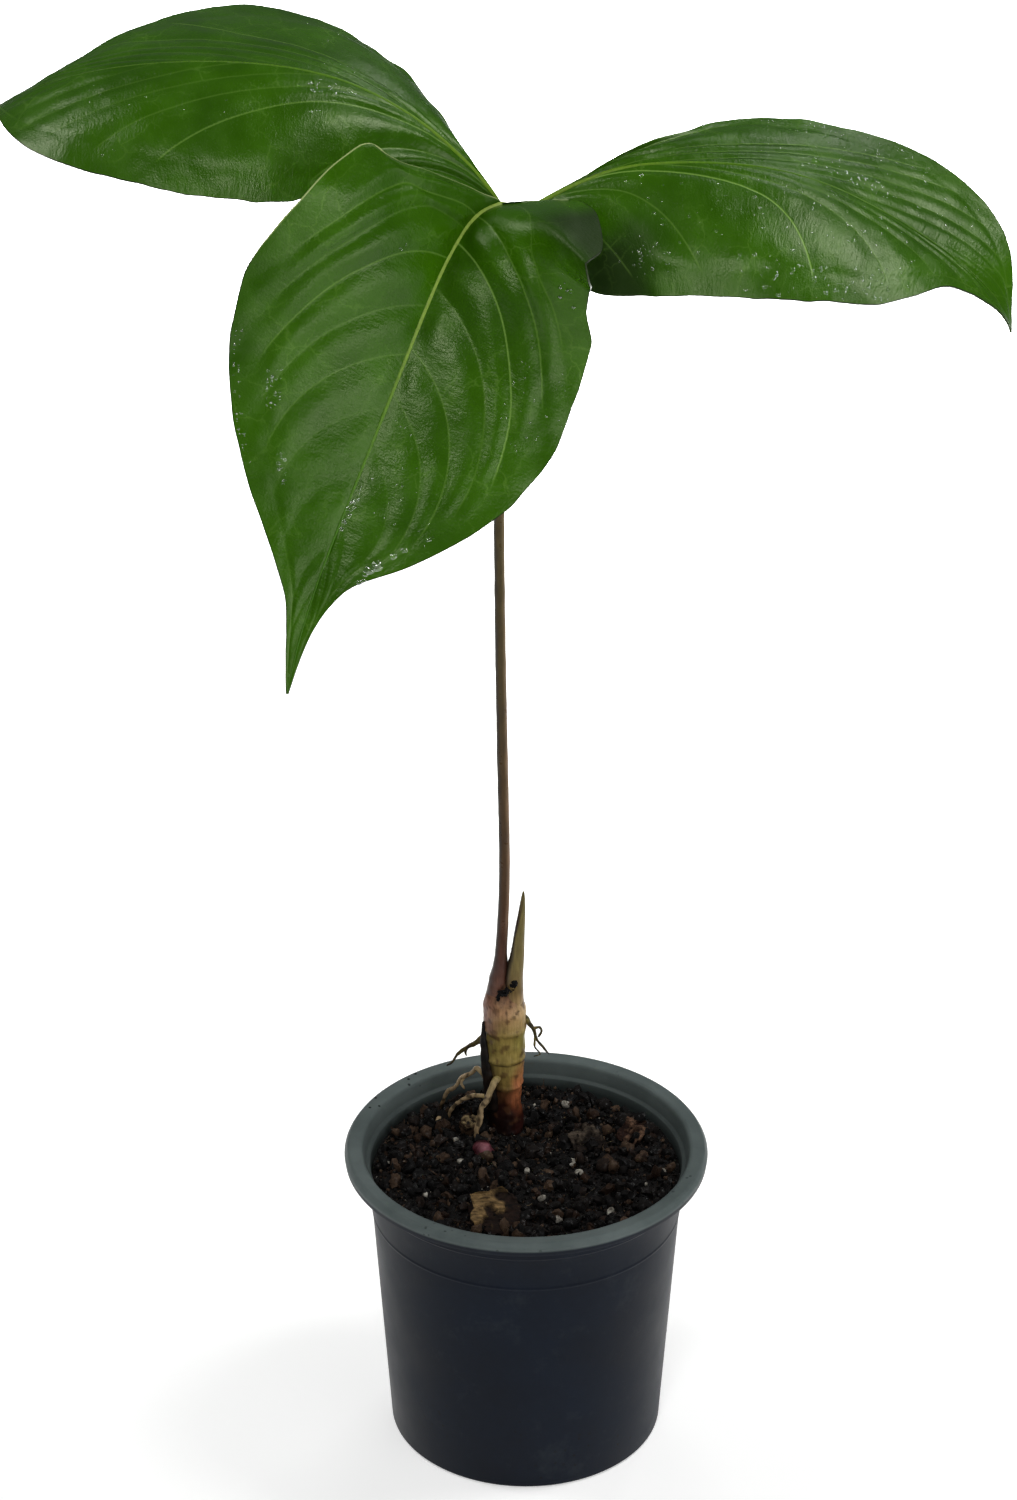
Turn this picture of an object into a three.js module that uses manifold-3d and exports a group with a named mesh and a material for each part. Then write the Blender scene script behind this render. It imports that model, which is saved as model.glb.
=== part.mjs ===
// Potted anthurium: one leaf of three leaflets on a thin petiole, rising from a short ringed stem
// that stands in potting mix in a round plant pot.
// Millimetres, +Z up. The pot's axis is Z, its base stands on z = 0, and -Y is the front.

import * as THREE from 'three';
import Module from 'manifold-3d';
import { mergeVertices } from 'three/addons/utils/BufferGeometryUtils.js';

const wasm = await Module();
wasm.setup();

// Driving dimensions
const GAP = 0.3;
const SOCKET_GAP = 0.35;
const POT_HEIGHT = 104;
const POT_RIM_RADIUS = 60;
const POT_MOUTH_RADIUS = 53.8;
const POT_NECK_RADIUS = 52.4;
const POT_BASE_RADIUS = 45.5;
const POT_WALL = 1.5;
const POT_FLOOR_TOP = 3.2;
const FOOT_DEPTH = 1.6;
const PAD_RADIUS = 12;
const LIP_DROP = 4.6;
const POT_SIDES = 48;
const DRAIN_HOLES = 8;
const DRAIN_RADIUS = 2.4;
const DRAIN_CIRCLE = 32;
const SOIL_LEVEL = 97;
const SOIL_RINGS = 10;
const STEM_X = -7;
const STEM_Y = 29;
const STEM_TOP = 141;
const STEM_BOTTOM = 74;
const JUNCTION = new THREE.Vector3(-3.5, 2, 424.5);
const JUNCTION_RADIUS = 2.6;
const BLADE_THICKNESS = 0.9;
const BLADE_ROWS = 32;
const SLOPE_SPAN = 55;

const COLOURS = {
  pot: 0x2c353f,
  soil: 0x1d1814,
  stem: 0x8a7a3a,
  petiole: 0x6a4a30,
  spear: 0x77733a,
  leaf: 0x2f5a12,
  bark: 0x7a5636,
  fibre: 0xa58d66,
  bud: 0x8a4a55,
  perlite: 0xd9d6cc,
};

function material(colour, roughness) {
  return new THREE.MeshStandardMaterial({ color: colour, roughness, metalness: 0 });
}

// Repeatable random numbers between 0 and 1
function seeded(seed) {
  let state = seed >>> 0;
  return () => {
    state = (Math.imul(state, 1664525) + 1013904223) >>> 0;
    return state / 4294967296;
  };
}

// A smooth curve through [station, value, ...] rows that never swings past its values
function through(rows, column, station) {
  const last = rows.length - 1;
  const s = Math.min(Math.max(station, rows[0][0]), rows[last][0]);
  let i = 0;
  while (i < last - 1 && s > rows[i + 1][0]) i += 1;
  const rise = (k) => (rows[k + 1][column] - rows[k][column]) / (rows[k + 1][0] - rows[k][0]);
  const slope = (k) => {
    if (k === 0) return rise(0);
    if (k === last) return rise(last - 1);
    const before = rise(k - 1);
    const after = rise(k);
    return before * after <= 0 ? 0 : (2 * before * after) / (before + after);
  };
  const span = rows[i + 1][0] - rows[i][0];
  const t = (s - rows[i][0]) / span;
  const t2 = t * t;
  const t3 = t2 * t;
  return (2 * t3 - 3 * t2 + 1) * rows[i][column] + (t3 - 2 * t2 + t) * span * slope(i)
    + (3 * t2 - 2 * t3) * rows[i + 1][column] + (t3 - t2) * span * slope(i + 1);
}

// Closed geometry with shared vertices and without collapsed triangles
function welded(geometry) {
  const bare = geometry.clone();
  bare.deleteAttribute('normal');
  bare.deleteAttribute('uv');
  const merged = mergeVertices(bare, 1e-4);
  const index = merged.index.array;
  const kept = [];
  for (let i = 0; i < index.length; i += 3) {
    const [a, b, c] = [index[i], index[i + 1], index[i + 2]];
    if (a !== b && b !== c && c !== a) kept.push(a, b, c);
  }
  merged.setIndex(kept);
  return merged;
}

function solidOf(geometry) {
  const closed = welded(geometry);
  return new wasm.Manifold(new wasm.Mesh({
    numProp: 3,
    vertProperties: new Float32Array(closed.attributes.position.array),
    triVerts: new Uint32Array(closed.index.array),
  }));
}

function geometryOf(solid) {
  const mesh = solid.getMesh();
  const geometry = new THREE.BufferGeometry();
  geometry.setAttribute('position', new THREE.BufferAttribute(mesh.vertProperties, 3));
  geometry.setIndex(new THREE.BufferAttribute(mesh.triVerts, 1));
  geometry.computeVertexNormals();
  return geometry;
}

// A round limb along stations of [x, y, z, radius, depth ratio]: a lathe of the radii, then bent
// so that its axis follows the stations. grow widens it all round and lengthens both ends.
function limb(stations, sides, grow = 0) {
  const centres = stations.map(([x, y, z]) => new THREE.Vector3(x, y, z));
  const count = centres.length;
  const tangents = centres.map((centre, i) => {
    const after = centres[Math.min(i + 1, count - 1)];
    const before = centres[Math.max(i - 1, 0)];
    return after.clone().sub(before).normalize();
  });
  centres[0].addScaledVector(tangents[0], -grow);
  centres[count - 1].addScaledVector(tangents[count - 1], grow);
  const frames = [];
  let side = Math.abs(tangents[0].x) > 0.9 ? new THREE.Vector3(0, 1, 0) : new THREE.Vector3(1, 0, 0);
  tangents.forEach((tangent) => {
    side = side.clone().addScaledVector(tangent, -side.dot(tangent)).normalize();
    frames.push([side, side.clone().cross(tangent)]);
  });
  const profile = [new THREE.Vector2(0, 0)];
  stations.forEach((station, i) => profile.push(new THREE.Vector2(station[3] + grow, i)));
  profile.push(new THREE.Vector2(0, count - 1));
  const geometry = new THREE.LatheGeometry(profile, sides);
  const position = geometry.attributes.position;
  for (let v = 0; v < position.count; v += 1) {
    const ring = Math.round(position.getY(v));
    const ratio = stations[ring][4] ?? 1;
    const point = centres[ring].clone()
      .addScaledVector(frames[ring][0], position.getX(v))
      .addScaledVector(frames[ring][1], position.getZ(v) * ratio);
    position.setXYZ(v, point.x, point.y, point.z);
  }
  return solidOf(geometry);
}

// Pot: a thin moulded wall with a rolled lip, a stacking step inside the mouth, and drain holes in a
// recess of its underside between the base ring and a pad in the middle
function makePot() {
  const lipInner = POT_RIM_RADIUS - POT_WALL;
  const profile = [
    [0, 0],
    [PAD_RADIUS, 0],
    [PAD_RADIUS + 0.8, FOOT_DEPTH],
    [POT_BASE_RADIUS - 5.5, FOOT_DEPTH],
    [POT_BASE_RADIUS - 4.7, 0],
    [POT_BASE_RADIUS - 1, 0],
    [POT_BASE_RADIUS, 1],
    [POT_BASE_RADIUS + 5.35, 82.4],
    [POT_BASE_RADIUS + 5.8, 83],
    [POT_BASE_RADIUS + 5.5, 83.6],
    [POT_NECK_RADIUS - 0.5, 95.4],
    [POT_NECK_RADIUS, 96],
    [POT_NECK_RADIUS + 0.9, POT_HEIGHT - 2.4],
    [lipInner - 1, POT_HEIGHT - 1.9],
    [lipInner, POT_HEIGHT - LIP_DROP],
    [POT_RIM_RADIUS - 0.4, POT_HEIGHT - LIP_DROP],
    [POT_RIM_RADIUS, POT_HEIGHT - 1.8],
    [POT_RIM_RADIUS - 1.2, POT_HEIGHT],
    [POT_MOUTH_RADIUS + 0.8, POT_HEIGHT - 0.3],
    [POT_MOUTH_RADIUS, POT_HEIGHT - 1.1],
    [POT_MOUTH_RADIUS - 1, 99.6],
    [POT_MOUTH_RADIUS - 2.3, 98.9],
    [POT_NECK_RADIUS - POT_WALL, 92],
    [POT_BASE_RADIUS - POT_WALL, POT_FLOOR_TOP + 1],
    [POT_BASE_RADIUS - POT_WALL - 1, POT_FLOOR_TOP],
    [0, POT_FLOOR_TOP],
  ].map(([r, z]) => new THREE.Vector2(r, z));
  let pot = solidOf(new THREE.LatheGeometry(profile, POT_SIDES).rotateX(Math.PI / 2));
  for (let i = 0; i < DRAIN_HOLES; i += 1) {
    const angle = ((i + 0.5) / DRAIN_HOLES) * Math.PI * 2;
    const hole = new THREE.CylinderGeometry(DRAIN_RADIUS, DRAIN_RADIUS, POT_FLOOR_TOP * 3, 12);
    hole.rotateX(Math.PI / 2);
    hole.translate(DRAIN_CIRCLE * Math.cos(angle), DRAIN_CIRCLE * Math.sin(angle), POT_FLOOR_TOP);
    pot = pot.subtract(solidOf(hole));
  }
  return pot;
}

// Smooth bumps on a square lattice, from -1 to 1
function bumps(x, y, size, seed) {
  const value = (i, j) => {
    const h = Math.sin(i * 127.1 + j * 311.7 + seed * 74.7) * 43758.5453;
    return (h - Math.floor(h)) * 2 - 1;
  };
  const u = x / size;
  const v = y / size;
  const [i, j] = [Math.floor(u), Math.floor(v)];
  const ease = (t) => t * t * (3 - 2 * t);
  const [s, t] = [ease(u - i), ease(v - j)];
  const low = value(i, j) * (1 - s) + value(i + 1, j) * s;
  const high = value(i, j + 1) * (1 - s) + value(i + 1, j + 1) * s;
  return low * (1 - t) + high * t;
}

// Height of the potting mix: crumbs of two sizes, with a dip in front of the stem's right side
function soilHeight(x, y) {
  const dip = 2.2 * Math.exp(-(((x - 6) / 11) ** 2) - ((y - 20) / 10) ** 2);
  return SOIL_LEVEL - dip + 1.1 * bumps(x, y, 10, 3) + 0.8 * bumps(x, y, 5.5, 8);
}

// Potting mix: a plug that fills the pot, with a crumbly top
function makeSoil() {
  const bottom = POT_FLOOR_TOP + GAP;
  const topRadius = POT_NECK_RADIUS - POT_WALL - GAP;
  const bottomRadius = POT_BASE_RADIUS - POT_WALL - 1 - GAP;
  const profile = [new THREE.Vector2(0, bottom), new THREE.Vector2(bottomRadius, bottom)];
  for (let ring = SOIL_RINGS; ring >= 0; ring -= 1) {
    profile.push(new THREE.Vector2(topRadius * (ring / SOIL_RINGS) ** 0.85, SOIL_LEVEL - 4));
  }
  const geometry = new THREE.LatheGeometry(profile, POT_SIDES).rotateX(Math.PI / 2);
  const position = geometry.attributes.position;
  for (let v = 0; v < position.count; v += 1) {
    if (position.getZ(v) < SOIL_LEVEL - 5) continue;
    const [x, y] = [position.getX(v), position.getY(v)];
    const edge = Math.hypot(x, y) > topRadius - 0.1;
    position.setZ(v, edge ? SOIL_LEVEL - 4 : soilHeight(x, y));
  }
  return solidOf(geometry);
}

// Short stem with leaf scars as raised rings, tapering into the mix, and the roots that leave it
const STEM_STATIONS = [
  [STEM_X, STEM_Y, STEM_BOTTOM, 3.2],
  [STEM_X, STEM_Y, 82, 5.6],
  [STEM_X, STEM_Y, 94, 6.4],
  [STEM_X, STEM_Y, 99, 6.2],
  [STEM_X, STEM_Y, 106, 5.5],
  [STEM_X, STEM_Y, 111.4, 5.8],
  [STEM_X, STEM_Y, 112.4, 6.3],
  [STEM_X, STEM_Y, 113.6, 5.9],
  [STEM_X, STEM_Y, 118, 6.3],
  [STEM_X, STEM_Y, 121.8, 6.5],
  [STEM_X, STEM_Y, 122.8, 7.0],
  [STEM_X, STEM_Y, 124, 6.6],
  [STEM_X, STEM_Y, 128, 6.7],
  [STEM_X, STEM_Y, 132.8, 6.9],
  [STEM_X, STEM_Y, 133.8, 7.3],
  [STEM_X, STEM_Y, 135, 6.9],
  [STEM_X, STEM_Y, 139.4, 6.6],
  [STEM_X, STEM_Y, STEM_TOP, 5.8],
];

const AIR_ROOTS = [
  // High on the left, reaching out over the rim
  [[-10, 29, 129.5, 1.5], [-14, 29, 128.6, 1.3], [-17.8, 29, 126.2, 1], [-20, 29.3, 124.8, 0.9],
    [-22.8, 29.6, 122.4, 0.8], [-24.5, 30, 119.4, 0.65], [-26.6, 30, 117.7, 0.45]],
  // High on the right, with a small curl
  [[-3, 29, 137.6, 1.4], [-0.3, 29, 136.8, 1.2], [1.3, 29, 134.2, 0.9], [2.5, 29, 132.4, 0.8],
    [3.5, 29, 128.8, 0.7], [5.5, 29, 125.9, 0.6], [7.9, 29, 122.7, 0.4]],
  [[2.1, 29, 132.8, 0.6], [4.4, 28.8, 133.4, 0.55], [5.2, 28.6, 132, 0.5], [4.1, 28.6, 129.6, 0.4]],
];

const SOIL_ROOTS = [
  // From the left flank up and over, down into the mix
  [[-9, 28, 111, 1.3], [-13, 26, 113.5, 1.2], [-16, 28, 117.6, 1.1], [-18.9, 30, 114.6, 1],
    [-23.1, 32, 110.2, 1], [-25.9, 35, 103.4, 0.9], [-28.2, 37.5, 98.6, 0.8], [-29.4, 38.6, 95, 0.7]],
  // A flat arc close over the mix
  [[-9, 27, 108, 1.2], [-12.5, 24.6, 108.4, 1.1], [-15.8, 26, 108, 1], [-19.8, 28, 106, 0.9],
    [-22.5, 30, 103.4, 0.8], [-25, 31.5, 99.6, 0.8], [-26.4, 32.5, 95.4, 0.7]],
  // The thickest, down the front
  [[-8.5, 26, 118.6, 1.6], [-10.2, 22, 117, 1.6], [-11.8, 20.6, 113.6, 1.4], [-13.4, 20, 110.6, 1.4],
    [-15.1, 19, 107, 1.3], [-17.4, 17.6, 102, 1.2], [-19.6, 16.6, 95.4, 1.1]],
];

// Anchor roots hidden in the mix, spread evenly round the foot of the stem and bent down
function anchorRoots() {
  const roots = [];
  const spread = [200, 250, 300, 350];
  spread.forEach((degrees, i) => {
    const angle = THREE.MathUtils.degToRad(degrees);
    const root = [];
    for (let step = 0; step <= 5; step += 1) {
      const reach = 1 + step * (5.6 + i * 0.5);
      const drop = 84 - step * 3.4 - step * step * 1.5;
      root.push([STEM_X + reach * Math.cos(angle), STEM_Y + reach * Math.sin(angle), drop,
        1.5 - step * 0.16]);
    }
    roots.push(root);
  });
  return roots;
}

// Stem and roots together, or the space that they need when grow is given
function makeStem(grow = 0) {
  let stem = limb(STEM_STATIONS, 12, grow);
  const roots = [...AIR_ROOTS, ...SOIL_ROOTS, ...anchorRoots()];
  roots.forEach((root) => {
    stem = stem.add(limb(root, 6, grow));
  });
  return stem;
}

// Petiole: a sheathing foot on the stem's left shoulder, a long thin stalk and the joint on top
const PETIOLE_STATIONS = [
  [-10.1, 29.4, STEM_TOP + GAP, 3, 1.2],
  [-10, 29.4, 145, 3.1, 1.2],
  [-9.5, 29, 151, 2.8, 1.1],
  [-8.7, 28.4, 157, 2.3, 1],
  [-8.2, 27.8, 163, 2, 1],
  [-7.6, 26.6, 175, 1.85, 1],
  [-7.1, 25, 196, 1.8, 1],
  [-7.6, 21.6, 230, 1.8, 1],
  [-8.1, 18, 262, 1.75, 1],
  [-8.5, 13.4, 296, 1.7, 1],
  [-8.7, 9, 328, 1.7, 1],
  [-8.4, 5.6, 360, 1.7, 1],
  [-6.9, 3.4, 392, 1.7, 1],
  [-4.8, 2.3, 414, 1.8, 1],
  [JUNCTION.x, JUNCTION.y, JUNCTION.z, 1.9, 1],
];

function makePetiole() {
  const joint = new THREE.SphereGeometry(JUNCTION_RADIUS, 12, 8);
  joint.translate(JUNCTION.x, JUNCTION.y, JUNCTION.z);
  return limb(PETIOLE_STATIONS, 10).add(solidOf(joint));
}

// The rolled new leaf in its sheath, on the stem's right shoulder
const SPEAR_STATIONS = [
  [-3.7, 28, STEM_TOP + GAP, 2.6, 1.1],
  [-3.6, 28, 146, 2.7, 1.1],
  [-3.5, 27.6, 153, 2.5, 1.1],
  [-3, 27.2, 161, 2.3, 1],
  [-2.4, 27, 169, 1.9, 1],
  [-1.5, 27, 178, 1.2, 1],
  [-1, 27, 184, 0.6, 1],
  [-0.9, 27, 186, 0.2, 1],
];

// Leaflets. heading and pitch steer the midrib and roll turns the blade about it, by the share of
// the length travelled. Each side is a list of [rib, along, out]: the margin point that the row
// from that station of the midrib runs to. slope is the blade's rise in degrees off the rib, and
// outerSlope is what it has changed to SLOPE_SPAN further out.
const LEAFLETS = [
  {
    name: 'leaflet_front',
    length: 160,
    base: [-8, -2.5, 430],
    heading: [[0, -148], [0.1, -134], [0.25, -125], [0.5, -127], [0.8, -132], [1, -126]],
    pitch: [[0, 2], [0.04, -18], [0.1, -42], [0.3, -51], [0.55, -53], [0.8, -60], [1, -72]],
    roll: [[0, 30], [0.08, 40], [0.3, 48], [1, 45]],
    right: {
      margin: [[0, 0, 1.2], [1, 6, 6], [2.2, 11, 18], [3.4, 13, 31], [4.6, 15, 43], [6.2, 20, 48],
        [9, 28, 52], [14, 38, 55], [24, 51, 57], [42, 69, 53], [65, 89, 43.5], [86, 107, 30],
        [104, 120, 18], [124, 135, 7], [142, 148, 3], [160, 160, 0.4]],
      slope: [[0, 48], [0.12, 42], [0.3, 26], [0.6, 12], [1, 8]],
      outerSlope: [[0, 34], [0.12, 26], [0.3, 4], [0.6, -6], [1, -14]],
    },
    left: {
      margin: [[0, 0, 1.2], [0.7, -8, 6], [1.4, -14, 8.5], [2.2, -20, 11], [3, -19, 20],
        [4, -15, 30], [5.4, -6, 44], [7, 4, 47], [9.4, 16, 44.5], [12, 22, 45], [16, 31, 49],
        [26, 47, 50.5], [38, 63, 50.5], [56, 83, 45], [72, 98, 36], [90, 112, 24], [112, 127, 8],
        [134, 141, 3], [160, 160, 0.4]],
      slope: [[0, 42], [0.1, 40], [0.3, 24], [0.6, 12], [1, 8]],
      outerSlope: [[0, 0], [0.12, -5], [0.25, -4], [0.6, -6], [1, -14]],
    },
  },
  {
    name: 'leaflet_right',
    length: 164,
    base: [1, 4.5, 427],
    heading: [[0, 10], [0.5, 0], [0.8, -8], [1, -15]],
    pitch: [[0, 28], [0.12, 20], [0.22, 4], [0.4, -7], [0.6, -25], [0.78, -34], [0.9, -45], [1, -75]],
    roll: [[0, 0], [0.9, 0], [1, 25]],
    right: {
      margin: [[0, 0, 1.2], [1.2, -1, 10], [3, 0, 24], [6, 6, 33], [13, 24, 41], [24, 42, 44],
        [44, 71, 46.5], [60, 89, 45.5], [74, 102, 42], [90, 116, 37], [106, 128, 26],
        [122, 137, 14], [140, 150, 6], [164, 164, 0.4]],
      slope: [[0, -50], [0.15, -35], [0.5, -18], [1, -10]],
      outerSlope: [[0, -75], [0.5, -60], [1, -40]],
    },
    left: {
      margin: [[0, 0, 1.2], [7, 14, 2], [13, 27, 6], [19, 39, 13.5], [28, 52, 23], [38, 64, 30.5],
        [50, 77, 34.4], [66, 93, 34.7], [82, 108, 34.4], [98, 121, 32.3], [112, 133, 28.5],
        [126, 143, 21.5], [138, 151, 12.5], [150, 158, 5], [164, 164, 0.4]],
      slope: [[0, 8], [0.4, 10], [0.7, 24], [1, 34]],
      outerSlope: [[0, 1], [0.4, 4], [0.7, 16], [1, 24]],
    },
  },
  {
    name: 'leaflet_left',
    length: 168,
    base: [-6.8, 4.2, 425.7],
    heading: [[0, 178], [0.5, 182], [0.8, 176], [1, 150]],
    pitch: [[0, 60], [0.06, 52], [0.15, 44], [0.25, 34], [0.35, 23], [0.45, 11], [0.6, 1],
      [0.75, -8], [0.87, -19], [1, -32]],
    roll: [[0, 0], [1, 0]],
    right: {
      margin: [[0, 0, 1.2], [8, 16, 4], [14, 26, 10], [20, 35, 20], [28, 46, 33], [38, 58, 41],
        [52, 74, 49], [68, 92, 54], [86, 108, 48], [100, 120, 39], [115, 133, 27],
        [132, 146, 13], [148, 158, 6], [168, 168, 0.4]],
      slope: [[0, 6], [1, 6]],
      outerSlope: [[0, -2], [1, -2]],
    },
    left: {
      margin: [[0, 0, 1.2], [3, 12, 6], [8, 25, 13], [16, 40, 22], [28, 56, 35], [42, 72, 44],
        [56, 88, 46], [72, 104, 46], [89, 120, 43], [108, 137, 38], [128, 150, 29],
        [146, 159, 17], [168, 168, 0.6]],
      slope: [[0, -50], [0.15, -40], [0.4, -26], [1, -15]],
      outerSlope: [[0, -70], [0.5, -70], [1, -45]],
    },
  },
];

// Midrib of a leaflet as closely spaced points
function midribOf(leaflet) {
  const steps = 320;
  const step = leaflet.length / steps;
  const points = [new THREE.Vector3(...leaflet.base)];
  for (let i = 0; i < steps; i += 1) {
    const direction = directionAt(leaflet, (i + 0.5) / steps);
    points.push(points[i].clone().addScaledVector(direction, step));
  }
  return points;
}

function directionAt(leaflet, share) {
  const heading = THREE.MathUtils.degToRad(through(leaflet.heading, 1, share));
  const pitch = THREE.MathUtils.degToRad(through(leaflet.pitch, 1, share));
  return new THREE.Vector3(
    Math.cos(pitch) * Math.cos(heading), Math.cos(pitch) * Math.sin(heading), Math.sin(pitch));
}

// Point of a blade's middle surface at along, out on one side (+1 right, -1 left)
function bladePoint(leaflet, midrib, sign, along, out) {
  const side = sign > 0 ? leaflet.right : leaflet.left;
  const share = Math.min(Math.max(along / leaflet.length, 0), 1);
  const direction = directionAt(leaflet, share);
  const at = share * (midrib.length - 1);
  const below = Math.min(Math.floor(at), midrib.length - 2);
  const point = midrib[below].clone().lerp(midrib[below + 1], at - below);
  point.addScaledVector(direction, along - share * leaflet.length);
  const heading = THREE.MathUtils.degToRad(through(leaflet.heading, 1, share));
  const roll = THREE.MathUtils.degToRad(through(leaflet.roll, 1, share));
  const level = new THREE.Vector3(Math.sin(heading), -Math.cos(heading), 0);
  const upright = level.clone().cross(direction);
  const [turnCos, turnSin] = [Math.cos(roll), Math.sin(roll)];
  const across = level.clone().multiplyScalar(turnCos).addScaledVector(upright, turnSin);
  const normal = upright.multiplyScalar(turnCos).addScaledVector(level, -turnSin);
  const first = THREE.MathUtils.degToRad(through(side.slope, 1, share));
  const last = THREE.MathUtils.degToRad(through(side.outerSlope, 1, share));
  const parts = 8;
  for (let i = 0; i < parts; i += 1) {
    const slope = first + ((last - first) * out * (i + 0.5)) / parts / SLOPE_SPAN;
    point.addScaledVector(across, (sign * Math.cos(slope) * out) / parts);
    point.addScaledVector(normal, (Math.sin(slope) * out) / parts);
  }
  return point;
}

// Waved margin and swelling between the side veins, as an offset off the middle surface
function relief(leaflet, sign, along, share, edge) {
  const veins = 8;
  const phase = sign > 0 ? 0.3 : 1.7;
  const wave = Math.sin((along / leaflet.length) * veins * Math.PI * 2 + phase);
  const fade = Math.sin(Math.PI * Math.min(Math.max(share, 0), 1));
  return fade * wave * (0.35 * Math.sin(Math.PI * edge) + 0.7 * edge ** 3);
}

// Blade: both faces on one grid of rows from the midrib to the margins, and a rim between them
const ACROSS = [1, 0.9, 0.74, 0.56, 0.38, 0.2, 0.07];

function makeLeaflet(leaflet) {
  const midrib = midribOf(leaflet);
  const leftColumns = ACROSS.map((edge) => [-1, edge]);
  const rightColumns = ACROSS.map((edge) => [1, edge]).reverse();
  const columns = [...leftColumns, [1, 0], ...rightColumns];
  const middle = [];
  const bulge = [];
  for (let row = 0; row <= BLADE_ROWS; row += 1) {
    const rib = leaflet.length * (row / BLADE_ROWS) ** 1.8;
    const share = rib / leaflet.length;
    columns.forEach(([sign, edge]) => {
      const margin = sign > 0 ? leaflet.right.margin : leaflet.left.margin;
      const along = rib + (through(margin, 1, rib) - rib) * edge;
      const out = through(margin, 2, rib) * edge;
      const point = bladePoint(leaflet, midrib, sign, along, out);
      const normal = bladePoint(leaflet, midrib, sign, along + 0.5, out).sub(point)
        .cross(bladePoint(leaflet, midrib, sign, along, out + 0.5).sub(point))
        .multiplyScalar(-sign).normalize();
      point.addScaledVector(normal, relief(leaflet, sign, along, share, edge));
      middle.push(point);
      bulge.push(1.5 * (1 - 0.7 * share) * Math.exp(-((out / 1.8) ** 2)));
    });
  }
  return thickened(middle, bulge, columns.length);
}

// A closed sheet round a grid of points, bulged on its underside where it carries the rib
function thickened(middle, bulge, width) {
  const rows = middle.length / width;
  const normals = middle.map(() => new THREE.Vector3());
  const faces = [];
  for (let row = 0; row < rows - 1; row += 1) {
    for (let column = 0; column < width - 1; column += 1) {
      const a = row * width + column;
      const [b, c, d] = [a + 1, a + width + 1, a + width];
      if (column < (width - 1) / 2) faces.push([a, b, c], [a, c, d]);
      else faces.push([a, b, d], [b, c, d]);
    }
  }
  faces.forEach(([a, b, c]) => {
    const turn = middle[b].clone().sub(middle[a]).cross(middle[c].clone().sub(middle[a]));
    [a, b, c].forEach((vertex) => normals[vertex].add(turn));
  });
  const position = [];
  middle.forEach((point, i) => {
    const top = point.clone().addScaledVector(normals[i].normalize(), BLADE_THICKNESS / 2);
    position.push(top.x, top.y, top.z);
  });
  middle.forEach((point, i) => {
    const low = point.clone().addScaledVector(normals[i], -BLADE_THICKNESS / 2 - bulge[i]);
    position.push(low.x, low.y, low.z);
  });
  const count = middle.length;
  const index = [];
  faces.forEach(([a, b, c]) => index.push(a, b, c, a + count, c + count, b + count));
  const border = [];
  for (let column = 0; column < width - 1; column += 1) border.push(column);
  for (let row = 0; row < rows - 1; row += 1) border.push(row * width + width - 1);
  for (let column = width - 1; column > 0; column -= 1) border.push((rows - 1) * width + column);
  for (let row = rows - 1; row > 0; row -= 1) border.push(row * width);
  border.forEach((from, i) => {
    const to = border[(i + 1) % border.length];
    index.push(from, from + count, to, to, from + count, to + count);
  });
  const geometry = new THREE.BufferGeometry();
  geometry.setAttribute('position', new THREE.Float32BufferAttribute(position, 3));
  geometry.setIndex(index);
  return solidOf(geometry);
}

// Short stalk from the joint on the petiole to the midrib of a leaflet
function makeStalk(leaflet) {
  const base = new THREE.Vector3(...leaflet.base);
  const away = base.clone().sub(JUNCTION).normalize();
  const start = JUNCTION.clone().addScaledVector(away, JUNCTION_RADIUS + GAP);
  const midrib = midribOf(leaflet);
  const ribPoint = (along) => midrib[Math.round((along / leaflet.length) * (midrib.length - 1))];
  return limb([
    [...start.toArray(), 1.3],
    [...ribPoint(1).toArray(), 1.4],
    [...ribPoint(4).toArray(), 1.1],
  ], 8);
}

// A broken chip of bark: a block with its corners and layers pushed about
function chip(size, centre, turn, seed, grow = 0) {
  const random = seeded(seed);
  const geometry = welded(new THREE.BoxGeometry(1, 1, 1, 3, 3, 2));
  const position = geometry.attributes.position;
  for (let v = 0; v < position.count; v += 1) {
    const jitter = () => 1 + (random() - 0.5) * 0.34;
    const round = 1 - 0.16 * (Math.abs(position.getX(v)) + Math.abs(position.getY(v)));
    position.setXYZ(v,
      position.getX(v) * (size[0] + grow * 2) * jitter() * round,
      position.getY(v) * (size[1] + grow * 2) * jitter() * round,
      position.getZ(v) * (size[2] + grow * 2) * jitter());
  }
  geometry.rotateX(turn[0]).rotateY(turn[1]).rotateZ(turn[2]).translate(...centre);
  return solidOf(geometry);
}

const CHIPS = [
  {
    name: 'bark_front',
    size: [21, 20, 7],
    centre: [-9, -31, 98.4],
    turn: [0.2, 0.05, 0.15],
    seed: 4,
    colour: COLOURS.bark,
  },
  {
    name: 'bark_right_inner',
    size: [12, 13, 5.5],
    centre: [20.4, 14.5, 97.8],
    turn: [0.1, -0.15, 0.3],
    seed: 9,
    colour: COLOURS.bark,
  },
  {
    name: 'bark_right_outer',
    size: [9.5, 12, 5.5],
    centre: [35.5, 19, 97.8],
    turn: [0.15, 0.2, -0.5],
    seed: 15,
    colour: COLOURS.bark,
  },
  {
    name: 'fibre_shred',
    size: [7, 6, 3.2],
    centre: [-18.6, 24.4, 97.6],
    turn: [0.1, 0.1, 0.5],
    seed: 22,
    colour: COLOURS.fibre,
  },
];

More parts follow.
